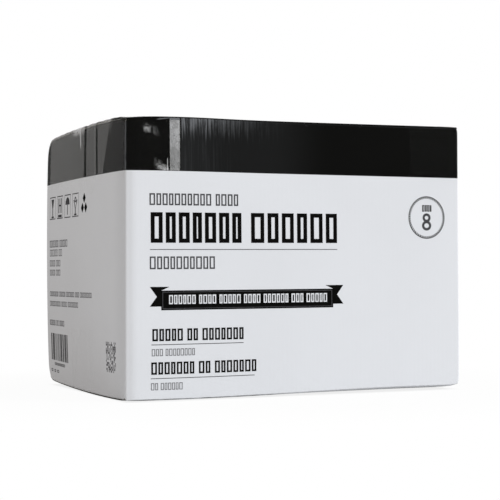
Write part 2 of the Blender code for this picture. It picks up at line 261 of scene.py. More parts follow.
class CartonColours(bpy.types.PropertyGroup):
    """Colours of the carton's finish."""

    white_print: FloatVectorProperty(
        name="White print", description="Coated white face", default=(0.745, 0.755, 0.780), subtype="COLOR")
    black_print: FloatVectorProperty(
        name="Black print", description="Black band", default=(0.0030, 0.0030, 0.0026), subtype="COLOR")
    # Also the colour of the painted reflections and highlights on the band
    worn_print_and_sheen: FloatVectorProperty(
        name="Worn print", description="Black band where it is rubbed", default=(0.155, 0.160, 0.168),
        subtype="COLOR")
    grey_ink: FloatVectorProperty(
        name="Grey ink", description="Lighter lines of print", default=(0.075, 0.075, 0.08), subtype="COLOR")
    pale_ink: FloatVectorProperty(
        name="Pale ink", description="Small print", default=(0.20, 0.20, 0.21), subtype="COLOR")
    board_core: FloatVectorProperty(
        name="Board core", description="Unprinted paper inside the board", default=(0.43, 0.415, 0.385),
        subtype="COLOR")
    film: FloatVectorProperty(
        name="Film", description="Packing tape that lies flat", default=(0.66, 0.66, 0.65), subtype="COLOR")
    haze: FloatVectorProperty(
        name="Haze", description="Packing tape with air under it", default=(0.68, 0.68, 0.69),
        subtype="COLOR")
    paperboard: FloatVectorProperty(
        name="Paperboard", description="Dispenser packs", default=(0.72, 0.73, 0.75), subtype="COLOR")
    gloves: FloatVectorProperty(
        name="Gloves", description="Nitrile rubber", default=(0.018, 0.018, 0.020), subtype="COLOR")
    floor: FloatVectorProperty(
        name="Floor", description="Studio floor", default=(0.80, 0.80, 0.80), subtype="COLOR")


class StageSizes(bpy.types.PropertyGroup):
    """Camera and light."""

    camera_place: FloatVectorProperty(
        name="Camera place", description="Where the camera stands", default=(-0.59758, -1.42732, 0.11734),
        subtype="XYZ")
    camera_turn: FloatProperty(
        name="Camera turn", description="Heading, to the right of +Y", default=math.radians(22.848),
        subtype="ANGLE")
    camera_tilt: FloatProperty(
        name="Camera tilt", description="Above the horizon", default=math.radians(0.801), subtype="ANGLE")
    camera_roll: FloatProperty(
        name="Camera roll", description="About the line of sight", default=math.radians(-0.371),
        subtype="ANGLE")
    lens: FloatProperty(name="Lens", description="Focal length in millimetres", default=109.33)
    sky: FloatProperty(name="Sky", description="Strength of the light from all round", default=0.575)
    sky_tint: FloatVectorProperty(
        name="Sky tint", description="Colour of the light from all round", default=(1.0, 0.96, 0.92),
        subtype="COLOR")
    key_tint: FloatVectorProperty(
        name="Key tint", description="Colour of the large soft lamp", default=(0.90, 0.95, 1.0),
        subtype="COLOR")
    key_place: FloatVectorProperty(
        name="Key place", description="Where the large soft lamp stands", default=(11.50, -10.25, 8.50),
        subtype="XYZ")
    key_size: FloatProperty(
        name="Key size", description="Diameter of the large soft lamp", default=7.5, unit="LENGTH")
    key_power: FloatProperty(
        name="Key power", description="Power of the large soft lamp", default=2150.0, unit="POWER")
    shadow_share: FloatProperty(
        name="Shadow share", description="How much of the floor's own shade shows", default=0.045)
    floor_reach: FloatProperty(
        name="Floor reach", description="Half the side of the floor", default=30.0, unit="LENGTH")


class Link:
    """A socket of a node tree. Arithmetic on it adds Math nodes, and node() adds any other node."""

    def __init__(self, tree, socket=None):
        self.tree = tree
        self.socket = socket

    def node(self, kind, inputs=None, output=0, **settings):
        """Add a node of one type: first its settings, then the values or links of its sockets."""
        node = self.tree.nodes.new(kind)
        for key, value in settings.items():
            setattr(node, key, value)
        self.feed(node, inputs or {})
        return Link(self.tree, node.outputs[output])

    def feed(self, node, inputs):
        """Set or link the sockets of a node, named or numbered."""
        for key, value in inputs.items():
            if isinstance(value, Link):
                self.tree.links.new(value.socket, node.inputs[key])
            else:
                node.inputs[key].default_value = value

    def math(self, operation, *values):
        return self.node("ShaderNodeMath", dict(enumerate(values)), operation=operation)

    def __add__(self, other):
        return self.math("ADD", self, other)

    def __radd__(self, other):
        return self.math("ADD", other, self)

    def __sub__(self, other):
        return self.math("SUBTRACT", self, other)

    def __rsub__(self, other):
        return self.math("SUBTRACT", other, self)

    def __mul__(self, other):
        return self.math("MULTIPLY", self, other)

    def __rmul__(self, other):
        return self.math("MULTIPLY", other, self)

    def __truediv__(self, other):
        return self.math("DIVIDE", self, other)

    def __pow__(self, other):
        return self.math("POWER", self, other)

    def __abs__(self):
        return self.math("ABSOLUTE", self)

    def at_most(self, other):
        return self.math("MINIMUM", self, other)

    def at_least(self, other):
        return self.math("MAXIMUM", self, other)

    def step(self, low, high):
        """0 at low and before, 1 at high and after, smooth between; the other way round if high is lower."""
        inputs = {"Value": self, "From Min": low, "From Max": high}
        return self.node("ShaderNodeMapRange", inputs, interpolation_type="SMOOTHSTEP")

    def near(self, middle, reach):
        """1 at the middle, falling smoothly to 0 at reach to either side."""
        return abs(self - middle).step(reach, 0)

    def line(self, other, place, level, slope, reach):
        """1 on a slanting line, which is at the place where the other coordinate is at the level."""
        return (self - place - (other - level) * slope).near(0.0, reach)

    def on_face(self, half, outer=0.0002, inner=0.0012):
        """1 on the face that is half the carton away on the low side, 0 from a little way inside it."""
        return self.step(inner - half, outer - half)

    def mix(self, low, high):
        """Between two colours, with this value as the share of the second."""
        colours = {0: self}
        for key, colour in ((6, low), (7, high)):
            colours[key] = colour if isinstance(colour, Link) else (*colour, 1)
        return self.node("ShaderNodeMix", colours, output=2, data_type="RGBA")

    def scaled(self, factors):
        """A vector times one factor for each axis."""
        return self.node("ShaderNodeVectorMath", {0: self, 1: factors}, operation="MULTIPLY")

    def noise(self, scale, detail=3.0, roughness=0.5):
        """Noise at this place, around a half."""
        inputs = {"Vector": self, "Scale": scale, "Detail": detail, "Roughness": roughness}
        return self.node("ShaderNodeTexNoise", inputs)

    def axis(self, name):
        """One coordinate of this place."""
        return self.node("ShaderNodeSeparateXYZ", {0: self}, output=name)

    def axes(self):
        """The three coordinates of this place."""
        return [self.axis(name) for name in "XYZ"]


def finish(name, build, *settings):
    """A material by its name, built when it is first asked for."""
    return bpy.data.materials.get(name) or build(name, *settings)


def start_material(name, unsettled=False, **fixed):
    """A new material with constants set on its shader: the material, its shader, and either its object
    coordinates or the places that its points had before the carton settled."""
    material = bpy.data.materials.new(name)
    material.use_nodes = True
    shader = material.node_tree.nodes["Principled BSDF"]
    for socket, value in fixed.items():
        shader.inputs[socket.replace("_", " ")].default_value = value
    link = Link(material.node_tree)
    if unsettled:
        return material, shader, link.node("ShaderNodeAttribute", output="Vector", attribute_name=UNSETTLED)
    return material, shader, link.node("ShaderNodeTexCoord", output="Object")


def bumps(height, distance):
    """A normal from a height between 0 and 1, whose full step is the distance."""
    return height.node("ShaderNodeBump", {"Strength": 1.0, "Distance": distance, "Height": height})


def toned(colour, share):
    """A colour made darker or lighter."""
    return [share * part for part in colour]


def fluting(distance, sizes):
    """The rise and fall of the flutes: a sine of the distance across them."""
    turn = distance * (2 * math.pi / sizes.flute_pitch)
    return turn.math("SINE", turn)


def rubbing(place, x, y, z, sizes):
    """Rubbed print: along the upright folds, and in spots by the upper edge."""
    fold = HALF_WIDTH + HALF_DEPTH - FOLD_CUT * sizes.fold_radius
    worn = (abs(x) + abs(y)).step(fold - 0.0004, fold - 0.0001) * place.noise(160.0, 4.0).step(0.15, 0.45)
    to_edge = (HALF_WIDTH - abs(x)).at_most(HALF_DEPTH - abs(y))
    high_edge = z.step(TOP - 0.006, TOP) * to_edge.step(0.005, 0.001)
    return worn * 0.6 + high_edge * place.noise(420.0, 3.0).step(0.64, 0.76) * 0.35


def painted_reflections(place, along, y, z):
    """Painted reflections and highlights on the front wall's band by its near end, in the colour of rubbed
    print:
    upright streaks that hang from the lid, haze, a slanting glint, and the light top of the strip where the
    tape ends."""
    lines = place.scaled((1.0, 0.0, 0.03)).noise(560.0, 4.0, 0.7)
    broken = place.scaled((1.0, 1.0, 0.3)).noise(260.0, 4.0, 0.7)
    hanging = place.scaled((1.0, 0.0, 0.0)).noise(430.0, 4.0, 0.7).step(0.35, 0.70) * 0.020
    upper = (z + hanging).step(TOP - 0.0090, TOP + 0.0090)
    glow = upper * along.step(0.185, 0.040) ** 2 * (lines * 0.7 + broken * 0.3).step(0.38, 0.62) * 1.5
    haze = along.step(0.205, 0.140) * 0.045 + along.step(0.100, 0.055) * 0.035
    long_lines = lines.step(0.48, 0.80) * along.step(0.120, 0.060)
    # Painted reflections on the band, from just past the strip where the tape ends
    reflected_streaks = (glow + long_lines * 0.15 + haze) * along.step(0.0520, 0.0545)
    glint = z.line(along, *GLINT) * along.step(0.0290, 0.0330) * along.step(0.0424, 0.0418)
    strip = along.step(STRIP_START, STRIP_START + STRIP_FADE) * along.step(STRIP_END, STRIP_END - STRIP_FADE)
    return (reflected_streaks + glint * 0.9 + strip * z.step(*STRIP_TOP)) * y.on_face(HALF_DEPTH, 0.0, 0.0010)


def bottom_shade(place, along, y, z):
    """Painted shade along the bottom edge of the long walls, where they stand on the floor, heavier towards
    the left wall.
    """
    edge = abs(y).step(HALF_DEPTH - 0.0020, HALF_DEPTH - 0.0012) * z.step(BASE + 0.0014, BASE + 0.0007)
    return edge * (0.25 + along.step(0.165, 0.130) * place.noise(70.0, 3.0).step(0.20, 0.60) * 0.55)


def printed_board(name, sizes, colours):
    """Coated board: black above the band's level and white below it, washboarded by the flutes and rubbed.
    It has painted shade on the end wall by the near fold and along the bottom edge of the long walls, and
    painted reflections streaked on the band by its near end."""
    material, shader, place = start_material(
        name, True, Specular_IOR_Level=0.0, Coat_Roughness=0.22, Coat_IOR=1.5)
    x, y, z = place.axes()
    along = x + HALF_WIDTH
    cloud = place.noise(9.0, 4.0)
    grain = place.noise(1500.0, 2.0)
    clouded = cloud.step(0.3, 0.7)
    white = clouded.mix(toned(colours.white_print, 0.975), colours.white_print)
    # Painted shade: the end wall's white is darker within a few centimetres of the near fold
    fold_shade = x.on_face(HALF_WIDTH) * y.step(0.040 - HALF_DEPTH, 0.004 - HALF_DEPTH)
    white = (fold_shade * 0.75).mix(white, toned(colours.white_print, 0.88))
    black = clouded.mix(toned(colours.black_print, 0.85), colours.black_print)
    band_edge = z + along * sizes.band_slope
    band = band_edge.step(sizes.band_level - PRINT_FADE, sizes.band_level + PRINT_FADE)
    # Rubbed print and painted reflections both take the colour of rubbed print
    wear_and_reflections = rubbing(place, x, y, z, sizes) + painted_reflections(place, along, y, z)
    colour = (wear_and_reflections.at_most(1.0) * band).mix(band.mix(white, black), colours.worn_print_and_sheen)
    side = abs(x).step(HALF_WIDTH - 0.0030, HALF_WIDTH - 0.0010)
    washboard = fluting(x, sizes) * (1 - side) + fluting(y, sizes) * side
    place.feed(shader, {
        # Painted shade along the bottom edge of the long walls, in grey ink
        "Base Color": bottom_shade(place, along, y, z).mix(colour, colours.grey_ink),
        "Roughness": 0.42 + cloud * 0.2 + grain * 0.08,
        "Coat Weight": 0.05 + band * 0.01 + cloud * 0.01,
        "Normal": bumps(washboard * 0.06 + grain * 0.2 + place.noise(60.0, 3.0) * 0.5, 0.00007),
    })
    return material


def plain_board(name, sizes, colours):
    """Unprinted paper of the board: fibres run along the sheet, and the inside shows the flutes. On the lid's
    cut ends the print has rolled over the upper half, and over the whole edge by the near corners. The base's
    cut ends are darkened between the corners by patchy painted shade, heavier towards the front."""
    material, shader, place = start_material(name, True, Specular_IOR_Level=0.15)
    x, y, z = place.axes()
    fibres = place.scaled((1.0, 1.0, 6.0)).noise(900.0, 5.0, 0.7)
    cloud = place.noise(22.0, 4.0)
    flutes = fluting(x, sizes)
    shade = (fibres * 0.6 + cloud * 0.4 + flutes * 0.05).step(0.3, 0.7)
    colour = shade.mix(toned(colours.board_core, 0.72), toned(colours.board_core, 1.12))

    cut = abs(x).step(HALF_WIDTH - 0.0012, HALF_WIDTH - 0.0008)
    ragged = place.scaled((0.0, 1.0, 0.3)).noise(190.0, 4.0, 0.7) * 0.0030
    rolled = (z + ragged).step(TOP - 0.0006, TOP) + y.step(0.044 - HALF_DEPTH, 0.036 - HALF_DEPTH)
    lid_end = cut * z.step(TOP - 0.0060, TOP - 0.0050)
    rolled = (rolled + z.step(TOP - 0.0030, TOP - 0.0034)) * lid_end
    # Painted shade on the base's cut ends between the corners, heavier towards the front and patchy
    base_shade = cut * z.step(BASE + 0.0060, BASE + 0.0050) * abs(y).step(HALF_DEPTH - 0.004, HALF_DEPTH - 0.016)
    base_shade = base_shade * (y.step(0.040, -0.040) * 0.5 + place.noise(95.0, 3.0).step(0.35, 0.55) * 0.7)
    dark = (rolled + base_shade * 0.8).at_most(1.0)
    place.feed(shader, {
        "Base Color": dark.mix(colour, toned(colours.black_print, 5)),
        "Roughness": 0.78 + fibres * 0.15,
        "Normal": bumps(fibres * 0.6 + flutes * 0.4, 0.0001),
    })
    return material


def front_haze_and_glint(place, fine, along, z, band):
    """Haze in the tape on the front wall's band: air under it in smudges round the near fold and in a patchy
    strip where the tape ends, and a painted highlight, an upright glint by the near fold."""
    upright_lines = place.scaled((1.0, 1.0, 0.08)).noise(380.0, 3.0, 0.6)
    blotches = place.noise(190.0, 3.0, 0.6).step(0.35, 0.60)
    patchy = (0.35 + upright_lines * 0.5 + z.step(band, TOP) * 0.35) * (0.7 + blotches * 0.4)
    strip = along.step(STRIP_START, STRIP_START + STRIP_FADE) * along.step(STRIP_END, STRIP_END - 0.0010)
    high_smudge = z.line(along, *HIGH_SMUDGE) * along.step(0.0145, 0.0195) * along.step(0.034, 0.022)
    high_smudge = high_smudge * upright_lines.step(0.30, 0.55) * fine.step(0.40, 0.58)
    low_smudge = z.line(along, *LOW_SMUDGE) * along.step(0.026, 0.036)
    # A painted highlight: an upright glint by the near fold
    upright_glint = along.near(0.0402, 0.0006) * z.step(0.2200, 0.2180) * 1.6
    smudges = (high_smudge * 0.8 + low_smudge * 1.3) * fine.step(0.30, 0.60) + upright_glint
    smudges = smudges * along.step(0.0415, 0.0411)
    return (strip * patchy * 0.40 + smudges * 0.30) * z.step(band, band + 0.0004)


def end_haze_and_glare(place, fine, x, deep, z, band):
    """Haze in the tape on the end wall: air under it in spots, a pull in the tape with fringes above it and a
    faint ridge, and a painted highlight, a glare along the upper edge."""
    end = x.on_face(HALF_WIDTH)
    spots = place.noise(95.0, 5.0, 0.6).step(0.66, 0.76) * 0.08 * z.step(band, band + 0.001) * end
    patches = place.noise(75.0, 3.0, 0.6).step(0.40, 0.58)
    pull = deep.line(z, *PULL) * z.step(0.2345, 0.2375)
    fringe = deep.near(0.1420, 0.034) * z.step(0.2455, 0.2500) * (0.55 + patches * 0.65)
    fringe = fringe + deep.near(0.1000, 0.018) * z.step(0.2500, 0.2530) * patches * 0.4
    pull = (pull + fringe + deep.line(z, *RIDGE) * 0.10) * end
    # A painted highlight: glare along the upper edge of the end wall's tape
    edge_glare = z.step(TOP - 0.0042, TOP - 0.0020) * x.on_face(HALF_WIDTH, 0.0, 0.0004)
    edge_glare = edge_glare * deep.step(0.036, 0.044) * fine.step(0.35, 0.60) * (0.35 + patches * 0.65)
    return spots + pull * 0.45 + edge_glare * 0.5


def film_shown(deep, z, end, band):
    """How much of the tape shows. On the end wall it is all but gone where it is stuck down by the near
    fold, in two slits and along its far rim, and it shows less on the white face than on the band."""
    stuck = (deep - STUCK_REACH - (STUCK_TOP - z).at_least(0.0) * STUCK_SLOPE).step(0.0010, -0.0010)
    stuck = stuck * (1 - deep.near(0.0440, 0.012) * z.step(0.2380, STUCK_TOP) * 0.5) * end
    slits = (deep.line(z, *FIRST_SLIT) + deep.line(z, *SECOND_SLIT)).step(0.30, 0.70) * end
    far_rim = deep.step(0.2400, 0.2440) * end
    wetted = z.step(band, band - 0.002) * z.step(BASE - 0.0001, BASE)
    return (1 - stuck * 0.74) * (1 - slits * 0.95) * (1 - far_rim * 0.75) * (1 - wetted * 0.6)


def packing_film(name, sizes, colours):
    """Clear tape. It shows by its sheen at a slant, by haze where air is caught under it, and by a painted
    glint and glare.
    """
    material, shader, place = start_material(name, True, IOR=1.47)
    x, y, z = place.axes()
    along, deep = x + HALF_WIDTH, y + HALF_DEPTH
    band = sizes.band_level
    front = y.on_face(HALF_DEPTH) * x.step(0.02, 0.0)
    end = x.on_face(HALF_WIDTH)
    fine = place.noise(230.0, 4.0, 0.6)
    wide = place.noise(38.0, 4.0)
    on_end = end_haze_and_glare(place, fine, x, deep, z, band) * (1 - front)
    haze = (front_haze_and_glint(place, fine, along, z, band) * front + on_end).at_most(0.9)
    level = z.step(TOP, TOP + 0.0001) + z.step(BASE, BASE - 0.0001)
    bubbles = place.noise(60.0, 5.0, 0.65).step(0.52, 0.70) * 0.07 + 0.03
    haze = haze + level * bubbles * (1 - end)
    slope = place.node("ShaderNodeLayerWeight", {"Blend": 0.5}, output="Facing")
    sheen = slope ** 3.0 * 0.250 * (0.90 + wide * 0.20) * (1 - front)
    place.feed(shader, {
        "Base Color": haze.step(0.05, 0.5).mix(colours.film, colours.haze),
        "Roughness": 0.16 + fine * 0.14,
        "Alpha": (0.001 + haze + sheen) * film_shown(deep, z, end, band),
        "Normal": bumps(wide * 0.7 + fine * 0.3, 0.00012),
    })
    return material


def ink(name, colour):
    """Printed ink, a little uneven, with the board's grain in it."""
    material, shader, place = start_material(name, True, Specular_IOR_Level=0.0, Coat_Roughness=0.35)
    patches = place.noise(240.0, 4.0, 0.6).step(0.3, 0.75)
    place.feed(shader, {
        "Base Color": patches.mix(toned(colour, 0.85), toned(colour, 1.15)),
        "Roughness": 0.45 + patches * 0.1,
        "Coat Weight": 0.03 + patches * 0.02,
        "Normal": bumps(place.noise(1500.0, 2.0), 0.00004),
    })
    return material


def pack_paperboard(name, colours):
    """Smooth white paperboard of the dispenser packs: a black cap round the upper end and a stripe on it."""
    material, shader, place = start_material(name, Specular_IOR_Level=0.35)
    low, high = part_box("pack_01_carton")
    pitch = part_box("pack_06_carton")[0].y - low.y
    z = place.axis("Z")
    share = (place.axis("Y") - low.y) / pitch
    share = share.math("FRACT", share)
    stripe = share.near(0.5, 0.30).step(0.02, 0.05) * z.step(high.z - 0.0012, high.z - 0.0008)
    cap = z.step(high.z - 0.0300, high.z - 0.0296) * z.step(high.z - 0.0006, high.z - 0.0010)
    grain = place.noise(1900.0, 2.0)
    white = place.noise(12.0, 4.0).step(0.3, 0.7).mix(toned(colours.paperboard, 0.95), colours.paperboard)
    place.feed(shader, {
        "Base Color": (stripe + cap).at_most(1.0).mix(white, toned(colours.black_print, 2.5)),
        "Roughness": 0.38 + grain * 0.12,
        "Normal": bumps(grain, 0.00003),
    })
    return material


def glove_rubber(name, colours):
    """Chlorinated nitrile: nearly black, with a soft sheen and fine wrinkles."""
    material, shader, place = start_material(name, Specular_IOR_Level=0.4)
    wrinkles = place.scaled((1.0, 0.4, 0.4)).noise(260.0, 5.0, 0.65)
    place.feed(shader, {
        "Base Color": wrinkles.mix(toned(colours.gloves, 0.7), toned(colours.gloves, 1.5)),
        "Roughness": 0.45 + wrinkles * 0.2,
        "Normal": bumps(wrinkles, 0.0004),
    })
    return material


def board_finishes(sizes, colours):
    """The finishes of the board: its printed face, and the paper where it is bare."""
    return [finish("printed_board", printed_board, sizes, colours),
            finish("plain_board", plain_board, sizes, colours)]


def between_corners(values, across, deep):
    """The bilinear blend of four corner values, over places from -1 to 1 along and across the carton."""
    near = values[0] + (values[1] - values[0]) * (1 + across) / 2
    far = values[2] + (values[3] - values[2]) * (1 + across) / 2
    return near + (far - near) * (1 + deep) / 2


def bell(distance, reach):
    """A bell curve: the exponential of minus the square of the distance over the reach."""
    return np.exp(-(distance / reach) ** 2)


def moved_out(x, y, up, sizes):
    """How far points move in X and in Y, at heights up from 0 to 1. A wall moves out by what its upright edge
    gives, times a low power of the half sine of the height, and by its belly, times the half sine, and only
    near its own face. The end walls also lean. Beside the near left fold the long wall turns back in a flat
    of a set slope, eased out by a parabola."""
    across, deep = x / HALF_WIDTH, y / HALF_DEPTH
    deepest = 1.02
    left, right = (np.clip(way * across, 0, 1) ** WALL_POWER for way in (-1, 1))
    near, far = (np.clip(way * deep, 0, deepest) ** WALL_POWER for way in (-1, 1))
    half_sine = np.sin(np.pi * up)
    edge_swell = half_sine ** 0.4

    left_gives, left_gain, right_gives = 0.0002, 0.0029, 0.0006
    left_leans, right_leans = 0.0014, 0.0009
    end_edge = left * (left_gain * (1 + deep) / 2 + left_gives) - right * right_gives
    end_belly = (left - right) * sizes.end_belly * (1 - deep ** 2)
    lean = (left * left_leans * (up - 0.5) + right * right_leans * up ** 6) * (1 - deep) / 2
    out_x = lean - edge_swell * end_edge - half_sine * end_belly

    near_gives, far_gives = 0.0002, 0.0012
    long_edge = far * far_gives - near * near_gives
    long_belly = (far - near) * sizes.long_belly * (1 - across ** 6)
    along = x + HALF_WIDTH
    facet, slope = sizes.fold_facet, sizes.facet_slope
    easing = np.clip(2 - np.maximum(along, facet) / facet, 0, 1) ** 2
    turned_back = slope * np.clip(facet - along, 0, facet) + slope * facet / 2 * easing
    return out_x, edge_swell * long_edge + half_sine * long_belly + near * turned_back


def moved_up(x, y, z, up, sizes):
    """How far points move in Z. The lid and the base lift by a blend of their corners, the lid by a dome and
    a hump too, times a high power of the height. The cut ends of the lid and the base are pinched to a part
    of their thickness, and the lid's left edge has a notch and is a little ragged."""
    across, deep = x / HALF_WIDTH, y / HALF_DEPTH
    nearer = (1 - deep) / 2
    base_pinch, lid_pinch, pinch_reach, pinch_depth = 0.80, 0.55, 0.006, 0.030
    pinch = (base_pinch + (lid_pinch - base_pinch) * up) * bell(HALF_WIDTH - np.abs(x), pinch_reach)
    below, above = TOP - z, z - BASE
    fading = np.clip((pinch_depth - np.minimum(below, above)) / (pinch_depth - BOARD), 0, 1) ** 2
    squeezed = np.clip(below, 0, BOARD) * (up > 0.5) - np.clip(above, 0, BOARD) * (up < 0.5)

    notch_depth, notch_place, notch_reach = 0.0008, -0.0100, 0.004
    ragged_depth, ragged_turns = 0.00025, 290
    notch = notch_depth * bell(y - notch_place, notch_reach) + ragged_depth * np.sin(ragged_turns * y) ** 3
    hump_height, hump_place, hump_reach = 0.0009, -0.110, 0.045
    hump = hump_height * bell(x - hump_place, hump_reach) * nearer ** 4
    dome = (sizes.lid_dome * across ** 2 + sizes.lid_crown * (1 - across ** 2)) * (1 - deep ** 2)
    lid_sag, base_sag, base_wave = 0.0003, 0.0026, 0.0008
    lid = between_corners(LID_LIFT, across, deep) + hump + dome - lid_sag * (1 - across ** 2)
    lid -= np.clip(-across, 0, 1) ** WALL_POWER * notch
    wave = base_wave * np.sin(np.pi * across) * nearer ** 3
    base = between_corners(BASE_LIFT, across, deep) - base_sag * (1 - deep ** 2) + wave
    rim = np.maximum(np.abs(across), np.abs(deep)) ** 6
    return squeezed * pinch * fading + up ** LEVEL_POWER * lid + (1 - up) ** LEVEL_POWER * base * rim


def settle(points, sizes):
    """Points moved as a full, taped carton settles: out with its walls and up with its lid and base. Each
    knocked corner adds a bell curve of the distance to it."""
    x, y, z = np.moveaxis(points, -1, 0)
    up = np.clip((z - BASE) / (TOP - BASE), 0, 1)
    moved = points + np.stack([*moved_out(x, y, up, sizes), moved_up(x, y, z, up, sizes)], axis=-1)
    for corner, sink, sink_reach, press, press_reach in KNOCKS:
        place = np.array(corner) * (HALF_WIDTH, HALF_DEPTH, (TOP - BASE) / 2) + (0, 0, MIDDLE)
        nearness = up if corner[2] > 0 else 1 - up
        plan = np.hypot(x - place[0], y - place[1])
        moved[..., 2] -= corner[2] * sink * bell(plan, sink_reach) * nearness ** LEVEL_POWER
        away = np.linalg.norm(points - place, axis=-1)[..., None]
        moved -= press * bell(away, press_reach) * np.array(corner) / math.sqrt(3)
    return moved


def sheet(outer, inner, finishes=(0, 0, 0), wrap=False):
    """Closed sheets between outer and inner grids of points, each (..., rows, columns, 3): vertices, faces
    and the finish of each face. Columns crossed with rows point outwards on the outer grid. The finishes are
    those of the outer faces, the inner faces and the edges. With wrap, the last column meets the first."""
    rows, columns = outer.shape[-3:-1]
    outer = outer.reshape(-1, rows * columns, 3)
    inner = inner.reshape(-1, rows * columns, 3)
    index = np.arange(rows * columns).reshape(rows, columns)
    if wrap:
        index = np.concatenate([index, index[:, :1]], axis=1)
    faces = np.stack([index[:-1, :-1], index[:-1, 1:], index[1:, 1:], index[1:, :-1]], axis=-1).reshape(-1, 4)
    under = rows * columns
    if wrap:
        starts = np.concatenate([index[0, :-1], index[-1, 1:]])
        ends = np.concatenate([index[0, 1:], index[-1, :-1]])
    else:
        starts = np.concatenate([index[0, :-1], index[:-1, -1], index[-1, :0:-1], index[:0:-1, 0]])
        ends = np.roll(starts, -1)
    edges = np.stack([starts + under, ends + under, ends, starts], axis=-1)
    one = np.concatenate([faces, faces[:, ::-1] + under, edges])
    finish_of_one = np.repeat(finishes, (len(faces), len(faces), len(edges)))
    vertices = np.concatenate([outer, inner], axis=1)
    shift = np.arange(len(vertices))[:, None, None] * 2 * under
    return vertices.reshape(-1, 3), (one + shift).reshape(-1, 4), np.tile(finish_of_one, len(vertices))


def joined(parts):
    """Several parts as one."""
    counts = np.cumsum([0] + [len(vertices) for vertices, _, _ in parts[:-1]])
    vertices, faces, finishes = zip(*parts)
    faces = [part + count for part, count in zip(faces, counts)]
    return np.concatenate(vertices), np.concatenate(faces), np.concatenate(finishes)


def new_piece(name, part, materials):
    """An object at the origin from vertices, faces and their finishes."""
    vertices, faces, finishes = part
    mesh = bpy.data.meshes.new(name)
    mesh.from_pydata(vertices.tolist(), [], [list(face) for face in faces])
    for material in materials:
        mesh.materials.append(material)
    mesh.polygons.foreach_set("material_index", np.asarray(finishes, np.int32))
    mesh.shade_smooth()
    mesh.set_sharp_from_angle(angle=SMOOTH_ANGLE)
    mesh.validate()
    piece = bpy.data.objects.new(name, mesh)
    bpy.context.scene.collection.objects.link(piece)
    return piece


def settled_piece(name, part, materials, sizes):
    """A piece of the settled carton. It keeps the places that its points had before, for its materials."""
    vertices, faces, finishes = part
    piece = new_piece(name, (settle(vertices, sizes), faces, finishes), materials)
    before = piece.data.attributes.new(UNSETTLED, "FLOAT_VECTOR", "POINT")
    before.data.foreach_set("vector", vertices.ravel())
    return piece


def eased(count):
    """Shares from 0 to 1, closer together at both ends."""
    return (1 - np.cos(np.linspace(0, np.pi, count))) / 2


def teeth(count, sizes):
    """Depths along an edge torn in teeth: none and a full one by turns."""
    return sizes.tooth_depth * (np.arange(count) % 2)


def folded_path(corners, radius, shares, arc_steps=6):
    """Points and outward directions along a path that turns left at each right-angled corner, where it
    follows an arc. The points of each straight stretch are at the given shares of its length, and an arc adds
    one point fewer than its steps."""
    corners = np.array(corners, float)
    ways = np.diff(corners, axis=0)
    ways /= np.linalg.norm(ways, axis=1)[:, None]
    outs = np.stack([ways[:, 1], -ways[:, 0]], axis=1)
    turn = (np.arange(1, arc_steps) / arc_steps * np.pi / 2)[:, None]
    points, normals = [], []
    for index, (way, out) in enumerate(zip(ways, outs)):
        start = corners[index] + way * radius * (index > 0)
        end = corners[index + 1] - way * radius * (index < len(ways) - 1)
        share = shares[index][:, None]
        points.append(start + (end - start) * share)
        normals.append(np.repeat(out[None], len(share), axis=0))
        if index < len(ways) - 1:
            next_out = outs[index + 1]
            normal = out * np.cos(turn) + next_out * np.sin(turn)
            points.append(corners[index + 1] - (out + next_out) * radius + normal * radius)
            normals.append(normal)
    return np.concatenate(points), np.concatenate(normals)


def upright(points, heights):
    """A grid from points in plan, one for each column, and heights, one row each."""
    plan = np.broadcast_to(points, (len(heights), *points.shape))
    return np.concatenate([plan, np.broadcast_to(heights, plan.shape[:2])[..., None]], axis=-1)


def carton_wall_part(sizes):
    """One blank folded round the four walls. Its outer face is a path in plan raised between two rims, and
    the inner face lies one board further in. The rims are those of the creases, lower on the end walls, and
    the glue tab's rims slope to its free end."""
    tab_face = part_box("top_flap_left")[1].y
    on_tab, on_end, on_long = 8, 52, 70
    shares = [eased(count) for count in (on_tab, on_end, on_long, on_end, on_long)]
    paths = []
    for inset, radius in ((0, sizes.fold_radius), (BOARD, sizes.inner_fold)):
        side, end = HALF_WIDTH - inset, HALF_DEPTH - inset
        corners = [(TAB_REACH - HALF_WIDTH, tab_face - inset), (-side, tab_face - inset), (-side, -end),
                   (side, -end), (side, end), (sizes.free_edge - HALF_WIDTH, end)]
        paths.append(folded_path(corners, radius, shares)[0])
    outer, inner = paths
    ends = np.clip((np.abs(outer[:, 0]) - HALF_WIDTH + sizes.fold_radius) / sizes.fold_radius, 0, 1)
    ends[:on_tab] = 1
    slope = np.zeros(len(outer))
    slope[:on_tab] = TAB_SLOPE * (1 - shares[0])
    top = TOP + (SHORT_TOP - TOP) * ends - sizes.crease_radius - slope
    base = BASE + (SHORT_BASE - BASE) * ends + sizes.base_radius + slope
    heights = base + (top - base) * eased(60)[:, None]
    return sheet(upright(outer, heights), upright(inner, heights), (0, 1, 1))


def flap_frame(name):
    """Where a flap lies, from its box: the middle of its crease on the carton's outer faces, the directions
    along the crease, to the free edge and out of its printed face, half its length and its reach."""
    low, high = (np.array(corner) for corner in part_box(name))
    middle = (low + high) / 2
    outward = np.array([0, 0, math.copysign(1, middle[2] - MIDDLE)])
    axis = 1 if abs(middle[0]) < BOARD else 0
    inward = np.zeros(3)
    inward[axis] = -math.copysign(1, middle[axis])
    wall = (HALF_WIDTH, HALF_DEPTH)[axis]
    crease = -inward * wall
    crease[2] = high[2] if outward[2] > 0 else low[2]
    reach = wall - min(abs(low[axis]), abs(high[axis]))
    return crease, np.cross(inward, outward), inward, outward, (high - low)[1 - axis] / 2, reach


def crease_radius(flap, sizes):
    """The outer radius of a flap's crease, larger on the lid than on the base."""
    return sizes.crease_radius if flap[3][2] > 0 else sizes.base_radius


def on_flap(flap, along, reach, depth):
    """Points at distances along the crease, from the crease, and below the printed face."""
    crease, along_way, inward, outward, _, _ = flap
    along, reach, depth = np.broadcast_arrays(along, reach, depth)
    return crease + along[..., None] * along_way + reach[..., None] * inward - depth[..., None] * outward


